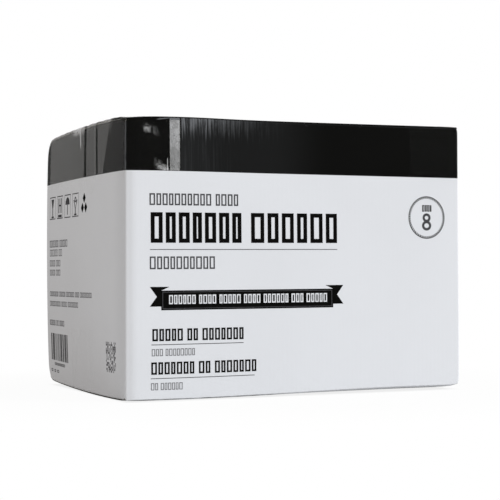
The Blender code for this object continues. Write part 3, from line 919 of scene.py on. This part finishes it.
def flap_part(name, sizes):
    """A flap of fluted board: two flat liners, and between them a medium that follows a sine across the
    flap and runs straight from crease to free edge."""
    flap = flap_frame(name)
    half, reach = flap[4:]
    radius = crease_radius(flap, sizes)
    rows = (radius + (reach - radius) * eased(20))[:, None]
    flat = half * (2 * eased(64) - 1)
    points_per_flute = 6
    wave = np.linspace(-half, half, int(2 * half / sizes.flute_pitch * points_per_flute))
    swing = (BOARD - 2 * sizes.liner - sizes.medium) / 2
    middle = BOARD / 2 + swing * np.sin(2 * np.pi * wave / sizes.flute_pitch)
    layers = ((flat, 0.0, sizes.liner, 0),
              (wave, middle - sizes.medium / 2, middle + sizes.medium / 2, 1),
              (flat, BOARD - sizes.liner, BOARD, 1))
    return joined([sheet(on_flap(flap, along, rows, above), on_flap(flap, along, rows, below), (face, 1, 1))
                   for along, above, below, face in layers])


def crease_part(name, sizes):
    """The crushed board that turns from a wall into a flap: a quarter ellipse from the wall's face to the
    flap's, pulled in at both ends as the upright folds are."""
    flap = flap_frame(name)
    half = flap[4]
    wall_half = HALF_WIDTH if abs(flap[1][0]) > 0.5 else HALF_DEPTH
    along = half * (2 * eased(80) - 1)
    fold, radius, board = sizes.fold_radius, crease_radius(flap, sizes), sizes.crease_board
    past = np.clip(np.abs(along) - (wall_half - fold), 0, fold)
    inset = fold - np.sqrt(fold ** 2 - past ** 2)
    turn = np.linspace(0, np.pi / 2, 9)[:, None]
    spread = np.maximum(radius - inset, board / 4)
    inner_spread = np.maximum(spread - board, board / 8)
    grids = [on_flap(flap, along, radius - level * np.cos(turn), radius - rise * np.sin(turn))
             for level, rise in ((spread, radius), (inner_spread, radius - board))]
    return sheet(*grids, (0, 1, 1))


def lid_tape_part(name, sizes):
    """Tape on one long flap: half of the seam strip from end to end, and a strip along each end. Each is a
    folded path across the lid, carried from the seam towards the crease, and its outer face lies one film
    above it. At the ends the film turns down over the board's cut edges."""
    flap = flap_frame(name)
    half, reach = flap[4:]
    lift = sizes.film_lift
    end = half + lift
    cut_shown = 0.0004
    drop = -(BOARD - cut_shown)
    strip = HALF_WIDTH - TAPE_ON_LID
    seam = reach - SEAM_HALF
    short = eased(3)
    beside_seam = np.linspace(reach, seam, 12)
    beside_end = np.linspace(seam, sizes.crease_radius, 24)
    rows = (([(end, drop), (end, lift), (-end, lift), (-end, drop)], [short, eased(60), short], beside_seam),
            ([(end, drop), (end, lift), (strip, lift)], [short, eased(8)], beside_end),
            ([(-strip, lift), (-end, lift), (-end, drop)], [eased(8), short], beside_end))
    parts = []
    for corners, shares, reaches in rows:
        points, normals = folded_path(corners, LID_TURN, shares, 4)
        faces = [on_flap(flap, path[None, :, 0], reaches[:, None], -path[None, :, 1])
                 for path in (points + normals * sizes.film, points)]
        parts.append(sheet(*faces))
    return joined(parts)


def side_tape_part(side, sizes):
    """Tape round one end wall and both its upright folds, with the seam strip's tail hanging below it. The
    film is the folded path of the walls raised from the lower to the upper edge; its loose ends and the tail
    are torn in teeth."""
    start = sizes.tooth_depth - TAPE_HIGH.x
    corners = side * np.array([(start, -HALF_DEPTH), (HALF_WIDTH, -HALF_DEPTH),
                               (HALF_WIDTH, HALF_DEPTH), (start, HALF_DEPTH)])
    lower_edge = TOP - TAPE_ON_WALL
    tail_edge = TAPE_LOW.z + sizes.tooth_depth
    radius = sizes.fold_radius
    run = HALF_DEPTH - radius
    first = (run - SEAM_HALF) / (2 * run)
    hair = 1e-5
    in_tail = 2 * int(2 * SEAM_HALF / sizes.tooth) + 1
    tail = np.linspace(first + hair, 1 - first - hair, in_tail)
    stretch = eased(16)
    shares = [stretch, np.concatenate([first * stretch, tail, 1 - first * stretch[::-1]]), stretch]
    arc_steps = 6
    points, normals = folded_path(corners, radius, shares, arc_steps)
    low = np.full(len(points), lower_edge)
    before_tail = 2 * len(stretch) + arc_steps - 1
    low[before_tail:before_tail + in_tail] = tail_edge - teeth(in_tail, sizes)
    rows = int(2 * (TAPE_HIGH.z - lower_edge) / sizes.tooth) + 1
    heights = low + (TAPE_HIGH.z - low) * np.linspace(0, 1, rows)[:, None]
    grids = []
    for lift in (sizes.film_lift + sizes.film, sizes.film_lift):
        grid = upright(points + normals * lift, heights)
        grid[:, (0, -1), 0] -= side * teeth(rows, sizes)[:, None]
        grids.append(grid)
    return sheet(*grids)


def base_tape_part(sizes):
    """Tape along the bottom seam and up both end walls, torn in teeth at its ends: a path in X and Z,
    carried across the strip."""
    outside = HALF_WIDTH + sizes.film_lift
    level = BASE - sizes.film_lift
    top = TAIL_TOP - sizes.tooth_depth
    corners = [(-outside, top), (-outside, level), (outside, level), (outside, top)]
    points, normals = folded_path(corners, BASE_TURN, [eased(20), eased(80), eased(20)])
    across = np.linspace(SEAM_HALF, -SEAM_HALF, 2 * int(2 * SEAM_HALF / sizes.tooth) + 1)
    grids = []
    for lift in (sizes.film, 0.0):
        path = points + normals * lift
        grid = np.stack(np.broadcast_arrays(path[:, 0], across[:, None], path[:, 1]), axis=-1)
        grid[:, (0, -1), 2] += teeth(len(across), sizes)[:, None]
        grids.append(grid)
    return sheet(*grids)


def rectangles(starts, ends, lows, highs):
    """Corners of upright rectangles, from distances along a wall and heights."""
    starts, ends, lows, highs = np.broadcast_arrays(*np.atleast_1d(starts, ends, lows, highs))
    corners = [(starts, lows), (ends, lows), (ends, highs), (starts, highs)]
    return np.stack([np.stack(corner, axis=-1) for corner in corners], axis=-2)


def on_wall(wall, along, height, lift):
    """Points on a wall, at a distance along it, a height and a lift off its face."""
    start, way, out = (np.array(value, float) for value in WALLS[wall])
    along, height = np.broadcast_arrays(along, height)
    plan = start + along[..., None] * way + lift * out
    return np.concatenate([plan, height[..., None]], axis=-1)


def marks(wall, along, height, sizes, layer=0, wrap=False):
    """Ink on a wall over grids of distances along it and of heights, which turn anticlockwise as seen with
    the distance to the right. Each layer lies on the one below."""
    lift = (1 + 2 * layer) * sizes.ink
    outer = on_wall(wall, along, height, lift + sizes.ink)
    inner = on_wall(wall, along, height, lift - 0.5 * sizes.ink)
    _, way, out = WALLS[wall]
    if way[0] * out[1] - way[1] * out[0] > 0:
        outer, inner = outer[..., ::-1, :], inner[..., ::-1, :]
    return sheet(outer, inner, wrap=wrap)


def quads(wall, corners, sizes, columns=2, rows=2, layer=0):
    """Four-sided marks: each grid is the bilinear blend of its corners, anticlockwise from the lower left."""
    corners = np.asarray(corners, float).reshape(-1, 4, 1, 1, 2)
    u = np.linspace(0, 1, columns)[None, :, None]
    v = np.linspace(0, 1, rows)[:, None, None]
    blend = (corners[:, 0] * (1 - u) * (1 - v) + corners[:, 1] * u * (1 - v)
             + corners[:, 2] * u * v + corners[:, 3] * (1 - u) * v)
    return marks(wall, blend[..., 0], blend[..., 1], sizes, layer)


def ring(wall, centre, outer, inner, sizes, steps=40):
    """A round mark with a hole: radii along the wall and upwards, of its outline and of its hole."""
    turn = np.linspace(0, 2 * np.pi, steps, endpoint=False)
    radii = np.array([outer, inner])
    along = centre[0] + radii[:, :1] * np.cos(turn)
    height = centre[1] + radii[:, 1:] * np.sin(turn)
    return marks(wall, along, height, sizes, wrap=True)


def dome(wall, centre, radius, sizes):
    """A half disc, its flat side down: radius times the sine and cosine of a half turn, closed on the
    middle of the flat side."""
    turn = np.linspace(0, np.pi, 15)[:, None]
    share = np.array([0.02, 1.0])[None, :] * radius
    return marks(wall, centre[0] + share * np.cos(turn), centre[1] + share * np.sin(turn), sizes)


def word_blocks(start, end, words):
    """Starts and ends of the blocks of a row: each block's width is its share of the row, and gaps lie
    between blocks and, wider, between words."""
    total = sum(words)
    widths = np.resize(BLOCK_SHARES, total)
    gaps = np.full(total, BLOCK_GAP)
    gaps[np.cumsum(words) - 1] = WORD_GAP
    lefts = np.cumsum(np.concatenate([[0.0], (widths + gaps)[:-1]]))
    rights = lefts + widths
    scale = (end - start) / rights[-1]
    return start + lefts * scale, start + rights * scale


def box_row(wall, shapes, line, sizes, layer=0):
    """Rectangles as open boxes with a line of one width."""
    inward = np.array([(1, 1), (-1, 1), (-1, -1), (1, -1)])
    loops = np.stack([shapes, shapes + line * inward], axis=1)
    return marks(wall, loops[..., 0], loops[..., 1], sizes, layer, wrap=True)


def block_rows(wall, rows, sizes):
    """The rows of open boxes of a wall, by ink."""
    parts = {}
    for start, end, low, height, words, name, line in rows:
        shapes = rectangles(*word_blocks(start, end, words), low, low + height)
        parts.setdefault(name, []).append(box_row(wall, shapes, line, sizes))
    return parts


def frame_lines(left, right, low, high, level_line, upright_line):
    """The level and the upright lines of a frame, or of several, as rectangles."""
    levels = [rectangles(left, right, edge, edge + level_line) for edge in (low, high - level_line)]
    low, high = low + level_line, high - level_line
    uprights = [rectangles(edge, edge + upright_line, low, high) for edge in (left, right - upright_line)]
    return np.concatenate(levels), np.concatenate(uprights)


def ribbon_parts(wall, sizes):
    """A black ribbon with a swallow tail folded behind each end, a border line and a row of light boxes."""
    low, high = 0.0825, 0.1003
    tail_low, tail_high = 0.0859, 0.1037
    left, right = 0.0334, 0.2060
    tip, notch, fold = 0.0107, 0.0041, 0.0080
    middle = (tail_low + tail_high) / 2
    black = [quads(wall, rectangles(left, right, low, high), sizes, 60, 4)]
    for end, way in ((left, -1), (right, 1)):
        upper = [(end + way * notch, middle), (end, middle), (end, tail_high), (end + way * tip, tail_high)]
        lower = [(end + way * tip, tail_low), (end, tail_low), (end, middle), (end + way * notch, middle)]
        corner = [(end, high), (end, high), (end - way * fold, tail_high), (end, tail_high)]
        for shape in (upper, lower, corner):
            black.append(quads(wall, shape if way < 0 else mirrored(shape), sizes, 3, 3))
    margin, line, box_line = 0.0012, 0.0005, 0.0011
    levels, uprights = frame_lines(left + margin, right - margin, low + margin, high - margin, line, line)
    grey = [quads(wall, levels, sizes, 60, 2, layer=1), quads(wall, uprights, sizes, 2, 4, layer=1)]
    boxes = rectangles(*word_blocks(0.0408, 0.1995, (6, 4, 5, 4, 6, 3, 5)), 0.0879, 0.0962)
    return {"black": black, "grey": grey, "white": [box_row(wall, boxes, box_line, sizes, layer=1)]}


def mirrored(shape):
    """Corners of a four-sided mark put in anticlockwise order again after a mirror."""
    return [shape[1], shape[0], shape[3], shape[2]]


def size_ring_parts(wall, sizes):
    """A thin ring with short slanted teeth on its inside, a little narrower than high, round a plain figure
    eight, which is two stacked rings."""
    centre = (0.3078, 0.1684)
    count = 56
    tooth_share, slant, narrowing = 0.52, 0.055, 0.97
    turn = (np.arange(count) / count * 2 * np.pi)[:, None, None]
    sweep = np.array([0.0, tooth_share])[None, :, None] * 2 * np.pi / count
    radius = np.array([0.0182, 0.0200])[None, None, :]
    turn = turn + sweep + np.array([0.0, slant])[None, None, :]
    along, height = narrowing * radius * np.cos(turn), radius * np.sin(turn)
    tooth_ring = marks(wall, centre[0] + along, centre[1] + height, sizes)
    rim = ring(wall, centre, (0.0199, 0.0205), (0.0193, 0.0199), sizes, 90)
    figure = [ring(wall, (centre[0], 0.1682), (0.0044, 0.0043), (0.0020, 0.0019), sizes),
              ring(wall, (centre[0], 0.1606), (0.0051, 0.0048), (0.0026, 0.0023), sizes)]
    return {"grey": figure, "black": [rim, tooth_ring]}


def collected(groups, more):
    """Parts by ink, with more added."""
    for name, parts in more.items():
        groups.setdefault(name, []).extend(parts)
    return groups


def long_wall_print(wall, sizes):
    """All the print of a long wall, by ink."""
    groups = block_rows(wall, LONG_WALL_ROWS, sizes)
    starts, ends, levels = np.array(LONG_WALL_RULES).T
    rules = rectangles(starts, ends, levels - sizes.rule / 2, levels + sizes.rule / 2)
    collected(groups, {"grey": [quads(wall, rules, sizes, 60, 2)]})
    collected(groups, ribbon_parts(wall, sizes))
    return collected(groups, size_ring_parts(wall, sizes))


def framed_signs(wall, sizes):
    """Four framed plain signs in a row: a fork under a ring, a dome on a stem, a pair of posts on a bar, and
    a cup on a foot. Upright bars are given by their middle, half their width and their ends, and the slanted
    cup and arms of the fork by their middle, their lower sides, their upper sides and their ends."""
    pitch, wide, low, high = 0.0274, 0.0208, 0.1720, 0.1950
    line, stem, post = 0.0009, 0.0011, 0.0014
    foot, foot_top, sign_top = 0.1734, 0.1752, 0.1925
    cup_base, fork_base, fork_top, roof_base = 0.1830, 0.1800, 0.1885, 0.1850
    lefts = 0.1388 + pitch * np.arange(4)
    levels, uprights = frame_lines(lefts, lefts + wide, low, high, line, line / 2)
    fork, roof, posts, cup = lefts + wide / 2
    bars = (
        (cup, stem, foot_top, cup_base),
        (cup, 0.0042, foot, foot_top),
        (posts - 0.0040, post, 0.1776, sign_top),
        (posts + 0.0040, post, 0.1776, sign_top),
        (posts, 0.0026, 0.1845, 0.1861),
        (posts, 0.0066, foot, 0.1760),
        (roof, 0.0009, 0.1750, roof_base),
        (fork, stem, foot, fork_base),
        (fork, 0.0038, foot, 0.1750),
    )
    slants = (
        (cup, -stem, stem, -0.0048, 0.0048, cup_base, sign_top),
        (fork, -stem, 0.0, -0.0063, -0.0040, fork_base, fork_top),
        (fork, 0.0, stem, 0.0040, 0.0063, fork_base, fork_top),
    )
    shapes = [rectangles(middle - half, middle + half, start, end) for middle, half, start, end in bars]
    for middle, left, right, high_left, high_right, start, end in slants:
        corners = ((left, start), (right, start), (high_right, end), (high_left, end))
        shapes.append(np.array([corners]) + (middle, 0.0))
    dark = [quads(wall, levels, sizes, 4, 2), quads(wall, np.concatenate(shapes), sizes, 2, 3),
            dome(wall, (roof, roof_base), 0.0072, sizes),
            ring(wall, (fork, 0.1888), (0.0028, 0.0028), (0.0014, 0.0014), sizes, 20)]
    return {"grey": dark, "pale": [quads(wall, uprights, sizes, 2, 4)]}


def three_lozenges(wall, sizes):
    """Three plain lozenges, one above two."""
    centres = np.array([(0.1202, 0.1890), (0.1255, 0.1798), (0.1149, 0.1798)])
    half = np.array([0.0046, 0.0048])
    ways = np.array([(0, -1), (1, 0), (0, 1), (-1, 0)])
    return {"black": [quads(wall, centres[:, None] + ways * half, sizes, 3, 3)]}


def bar_block(wall, sizes):
    """A block of upright bars of chance widths, which says nothing."""
    chance = np.random.default_rng(8)
    most = 60
    bars = chance.choice([0.0006, 0.0012, 0.0020], most)
    gaps = chance.choice([0.0007, 0.0015, 0.0026], most)
    left, right, low, high = 0.1795, 0.2435, 0.0255, 0.0540
    ends = left + np.cumsum(bars + gaps)
    shown = ends < right
    return {"grey": [quads(wall, rectangles((ends - bars)[shown], ends[shown], low, high), sizes, 2, 5)]}


def dot_block(wall, sizes):
    """A square of small dots set by chance, which says nothing."""
    chance = np.random.default_rng(21)
    cells = 15
    low, left, cell = 0.0248, 0.0268, 0.00188
    dot = cell * 0.92
    rows, columns = np.nonzero(chance.random((cells, cells)) < 0.5)
    lefts, lows = left + columns * cell, low + rows * cell
    return {"pale": [quads(wall, rectangles(lefts, lefts + dot, lows, lows + dot), sizes)]}


def end_wall_print(wall, sizes):
    """All the print of the end wall, by ink."""
    groups = block_rows(wall, END_WALL_ROWS, sizes)
    for shapes in (framed_signs, three_lozenges, bar_block, dot_block):
        collected(groups, shapes(wall, sizes))
    return groups


def add_print(name, groups, sizes, colours):
    """One piece of ink for each ink of a wall."""
    shades = {"black": colours.black_print, "grey": colours.grey_ink, "pale": colours.pale_ink,
              "white": colours.white_print}
    for key, parts in groups.items():
        material = finish(f"{key}_ink", ink, shades[key])
        piece = settled_piece(f"{name}_{key}", joined(parts), [material], sizes)
        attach(piece, "carton")


def glove_stack(low, high, sizes):
    """A stack of folded gloves: superellipse rings up the stack, closed in at both ends. The layers show as
    ridges on its narrow sides, and its wide sides roll in low waves."""
    centre, half = (high + low) / 2, (high - low) / 2
    turn = np.linspace(0, 2 * np.pi, 260, endpoint=False)
    share = np.linspace(-1, 1, 26)[:, None]
    round_power, face_power, closing_power = 0.32, 10, 14
    closed, ridge_depth, wave_depth = 0.55, 0.0008, 0.0010
    across = np.sign(np.cos(turn)) * np.abs(np.cos(turn)) ** round_power
    deep = np.sign(np.sin(turn)) * np.abs(np.sin(turn)) ** round_power
    closing = 1 - np.abs(share) ** closing_power * closed
    x = half[0] * across * closing
    y = half[1] * deep * closing
    z = np.broadcast_to(half[2] * share, x.shape)
    ridge = np.cos(2 * np.pi * x / sizes.glove_layer) * np.abs(deep) ** face_power
    y = y - np.sign(deep) * ridge_depth * (1 + ridge)
    wave = np.sin(90 * y + 40 * z) * np.cos(55 * z)
    x = x - np.sign(across) * np.abs(across) ** face_power * wave_depth * (1 + wave)
    return centre + np.stack([x, y, z], axis=-1)


def closed_loft(rings):
    """Vertices and faces of a solid through rings of points, turning anticlockwise seen from the last."""
    rows, columns = rings.shape[:2]
    index = np.arange(rows * columns).reshape(rows, columns)
    around = np.concatenate([index, index[:, :1]], axis=1)
    faces = np.stack([around[:-1, :-1], around[:-1, 1:], around[1:, 1:], around[1:, :-1]], axis=-1)
    faces = faces.reshape(-1, 4).tolist() + [index[0, ::-1].tolist(), index[-1].tolist()]
    return rings.reshape(-1, 3), faces, np.zeros(len(faces), np.int32)


class CartonOperator:
    """What the operators share."""

    bl_options = {"REGISTER", "UNDO"}

    @staticmethod
    def settings(context):
        return context.scene.carton_sizes, context.scene.carton_colours


class CARTON_OT_stage(CartonOperator, bpy.types.Operator):
    """Set up the camera, the floor, the light from all round and the large soft lamp"""

    bl_idname = "glove_carton.stage"
    bl_label = "Stage"

    def execute(self, context):
        scene = context.scene
        stage = scene.carton_stage
        scene.view_settings.view_transform = "Standard"
        camera = bpy.data.objects.new("camera", bpy.data.cameras.new("camera"))
        scene.collection.objects.link(camera)
        camera.data.lens = stage.lens
        camera.data.clip_end = 2 * stage.floor_reach
        heading = Matrix.Rotation(-stage.camera_turn, 4, "Z")
        tilt = Matrix.Rotation(math.pi / 2 + stage.camera_tilt, 4, "X")
        roll = Matrix.Rotation(stage.camera_roll, 4, "Z")
        camera.matrix_world = Matrix.Translation(stage.camera_place) @ heading @ tilt @ roll
        scene.camera = camera
        self.light(scene, stage)
        self.floor(scene, stage, scene.carton_colours)
        return {"FINISHED"}

    @staticmethod
    def seen(link):
        """1 for a ray from the camera, a reflection or a clear piece, and 0 for any other."""
        camera, gloss, clear = (link.node("ShaderNodeLightPath", output=f"Is {kind} Ray")
                                for kind in ("Camera", "Glossy", "Transmission"))
        return camera.at_least(gloss).at_least(clear)

    def light(self, scene, stage):
        world = bpy.data.worlds.new("studio")
        world.use_nodes = True
        scene.world = world
        link = Link(world.node_tree)
        colour = self.seen(link).mix(toned(stage.sky_tint, stage.sky), (1, 1, 1))
        link.feed(world.node_tree.nodes["Background"], {"Color": colour, "Strength": 1.0})
        lamp = bpy.data.lights.new("key", "AREA")
        lamp.shape = "DISK"
        lamp.size = stage.key_size
        lamp.energy = stage.key_power
        lamp.color = stage.key_tint
        key = bpy.data.objects.new("key", lamp)
        scene.collection.objects.link(key)
        place = Matrix.Translation(stage.key_place)
        way = -place.translation.normalized()
        key.matrix_world = place @ way.to_track_quat("-Z", "Y").to_matrix().to_4x4()

    def floor(self, scene, stage, colours):
        reach = stage.floor_reach
        mesh = bpy.data.meshes.new("floor")
        corners = [(-reach, -reach, 0), (reach, -reach, 0), (reach, reach, 0), (-reach, reach, 0)]
        mesh.from_pydata(corners, [], [(0, 1, 2, 3)])
        floor = bpy.data.objects.new("floor", mesh)
        scene.collection.objects.link(floor)
        material = bpy.data.materials.new("studio_floor")
        material.use_nodes = True
        tree = material.node_tree
        tree.nodes.remove(tree.nodes["Principled BSDF"])
        link = Link(tree)
        place = link.node("ShaderNodeTexCoord", output="Object")
        distance = place.node("ShaderNodeVectorMath", {0: place}, output="Value", operation="LENGTH")
        outside = (abs(place.axis("X")) - HALF_WIDTH).at_least(abs(place.axis("Y")) - HALF_DEPTH)
        shade = stage.shadow_share * (distance.step(0.45, 0.20) + outside.step(0.003, -0.004) * 2.7)
        plain = link.node("ShaderNodeBsdfDiffuse", {"Color": (*colours.floor, 1)})
        white = link.node("ShaderNodeEmission", {"Color": (1, 1, 1, 1), "Strength": 1.0})
        share = self.seen(link) * (1 - shade)
        surface = link.node("ShaderNodeMixShader", {0: share, 1: plain, 2: white})
        link.feed(tree.nodes["Material Output"], {"Surface": surface})
        mesh.materials.append(material)


class CARTON_OT_walls(CartonOperator, bpy.types.Operator):
    """Fold the four walls and the glue tab from one blank"""

    bl_idname = "glove_carton.walls"
    bl_label = "Walls"

    def execute(self, context):
        sizes, colours = self.settings(context)
        board = board_finishes(sizes, colours)
        walls = settled_piece("carton_walls", carton_wall_part(sizes), board, sizes)
        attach(walls, "carton")
        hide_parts("carton_sleeve")
        return {"FINISHED"}


class CARTON_OT_flaps(CartonOperator, bpy.types.Operator):
    """Add the eight flaps of fluted board"""

    bl_idname = "glove_carton.flaps"
    bl_label = "Flaps"

    def execute(self, context):
        sizes, colours = self.settings(context)
        board = board_finishes(sizes, colours)
        for name in FLAPS:
            flap = settled_piece(f"{name}_board", flap_part(name, sizes), board, sizes)
            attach(flap, FLAP_BODIES.get(name, "carton"))
            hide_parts(name)
        return {"FINISHED"}


class CARTON_OT_creases(CartonOperator, bpy.types.Operator):
    """Add the creases between walls and flaps; all but those of the long top flaps ride with the carton"""

    bl_idname = "glove_carton.creases"
    bl_label = "Creases"

    def execute(self, context):
        sizes, colours = self.settings(context)
        board = board_finishes(sizes, colours)
        for name in FLAPS:
            crease = settled_piece(f"{name}_crease", crease_part(name, sizes), board, sizes)
            if name not in FLAP_BODIES:
                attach(crease, "carton")
                continue
            flap = flap_frame(name)
            start = on_flap(flap, 0.0, 0.0, sizes.crease_radius)
            end = on_flap(flap, 0.0, sizes.crease_radius, 0.0)
            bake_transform(crease)
        return {"FINISHED"}


class CARTON_OT_tape(CartonOperator, bpy.types.Operator):
    """Add the packing tape on the seams, the lid's ends and the end walls"""

    bl_idname = "glove_carton.tape"
    bl_label = "Tape"

    def execute(self, context):
        sizes, colours = self.settings(context)
        film = [finish("packing_film", packing_film, sizes, colours)]
        rows = [
            ("lid_film_front", lid_tape_part("top_flap_front", sizes), "front_flap", ["top_tape_front"]),
            ("lid_film_back", lid_tape_part("top_flap_back", sizes), "back_flap", ["top_tape_back"]),
            ("end_film_left", side_tape_part(-1, sizes), "carton", ["side_tape_left"]),
            ("end_film_right", side_tape_part(1, sizes), "carton", ["side_tape_right"]),
            ("base_film", base_tape_part(sizes), "carton",
             ["bottom_tape", "bottom_tape_tail_left", "bottom_tape_tail_right"]),
        ]
        for name, part, body, nodes in rows:
            piece = settled_piece(name, part, film, sizes)
            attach(piece, body)
            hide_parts(*nodes)
        return {"FINISHED"}


class CARTON_OT_long_print(CartonOperator, bpy.types.Operator):
    """Print both long walls: rows of boxes, rules, a ribbon and a ring"""

    bl_idname = "glove_carton.long_print"
    bl_label = "Long wall print"

    def execute(self, context):
        sizes, colours = self.settings(context)
        for wall in ("front", "back"):
            add_print(f"{wall}_print", long_wall_print(wall, sizes), sizes, colours)
        return {"FINISHED"}


class CARTON_OT_end_print(CartonOperator, bpy.types.Operator):
    """Print the end wall: plain signs, rows of boxes, bars and dots"""

    bl_idname = "glove_carton.end_print"
    bl_label = "End wall print"

    def execute(self, context):
        sizes, colours = self.settings(context)
        add_print("left_print", end_wall_print("left", sizes), sizes, colours)
        return {"FINISHED"}


class CARTON_OT_packs(CartonOperator, bpy.types.Operator):
    """Finish the dispenser packs and fill them with gloves"""

    bl_idname = "glove_carton.packs"
    bl_label = "Packs and gloves"

    def execute(self, context):
        sizes, colours = self.settings(context)
        paperboard = finish("pack_paperboard", pack_paperboard, colours)
        rubber = [finish("glove_rubber", glove_rubber, colours)]
        for name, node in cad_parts.items():
            if name.endswith("_gloves"):
                low, high = (np.array(corner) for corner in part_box(name))
                stack = new_piece(f"{name}_stack", closed_loft(glove_stack(low, high, sizes)), rubber)
                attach(stack, "carton")
                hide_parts(name)
            elif name.startswith("pack_"):
                node.data.materials.clear()
                node.data.materials.append(paperboard)
        return {"FINISHED"}


class CARTON_PT_panel(bpy.types.Panel):
    """The carton's pieces, sizes and colours"""

    bl_idname = "CARTON_PT_panel"
    bl_label = "Glove Carton"
    bl_space_type = "VIEW_3D"
    bl_region_type = "UI"
    bl_category = "Glove Carton"

    def draw(self, context):
        for operator in OPERATORS:
            self.layout.operator(operator.bl_idname)
        for name in GROUPS:
            group = getattr(context.scene, name)
            box = self.layout.box()
            for key in group.__annotations__:
                box.prop(group, key)


OPERATORS = (CARTON_OT_stage, CARTON_OT_walls, CARTON_OT_flaps, CARTON_OT_creases, CARTON_OT_tape,
             CARTON_OT_long_print, CARTON_OT_end_print, CARTON_OT_packs)
GROUPS = {"carton_sizes": CartonSizes, "carton_colours": CartonColours, "carton_stage": StageSizes}


def register():
    for cls in (*GROUPS.values(), *OPERATORS, CARTON_PT_panel):
        bpy.utils.register_class(cls)
    for name, group in GROUPS.items():
        setattr(bpy.types.Scene, name, PointerProperty(type=group))


def unregister():
    for name in GROUPS:
        delattr(bpy.types.Scene, name)
    for cls in (CARTON_PT_panel, *reversed(OPERATORS), *GROUPS.values()):
        bpy.utils.unregister_class(cls)


def main():
    """Build every piece."""
    register()
    for operator in OPERATORS:
        getattr(bpy.ops.glove_carton, operator.bl_idname.split(".")[1])()


if __name__ == "__main__":
    main()
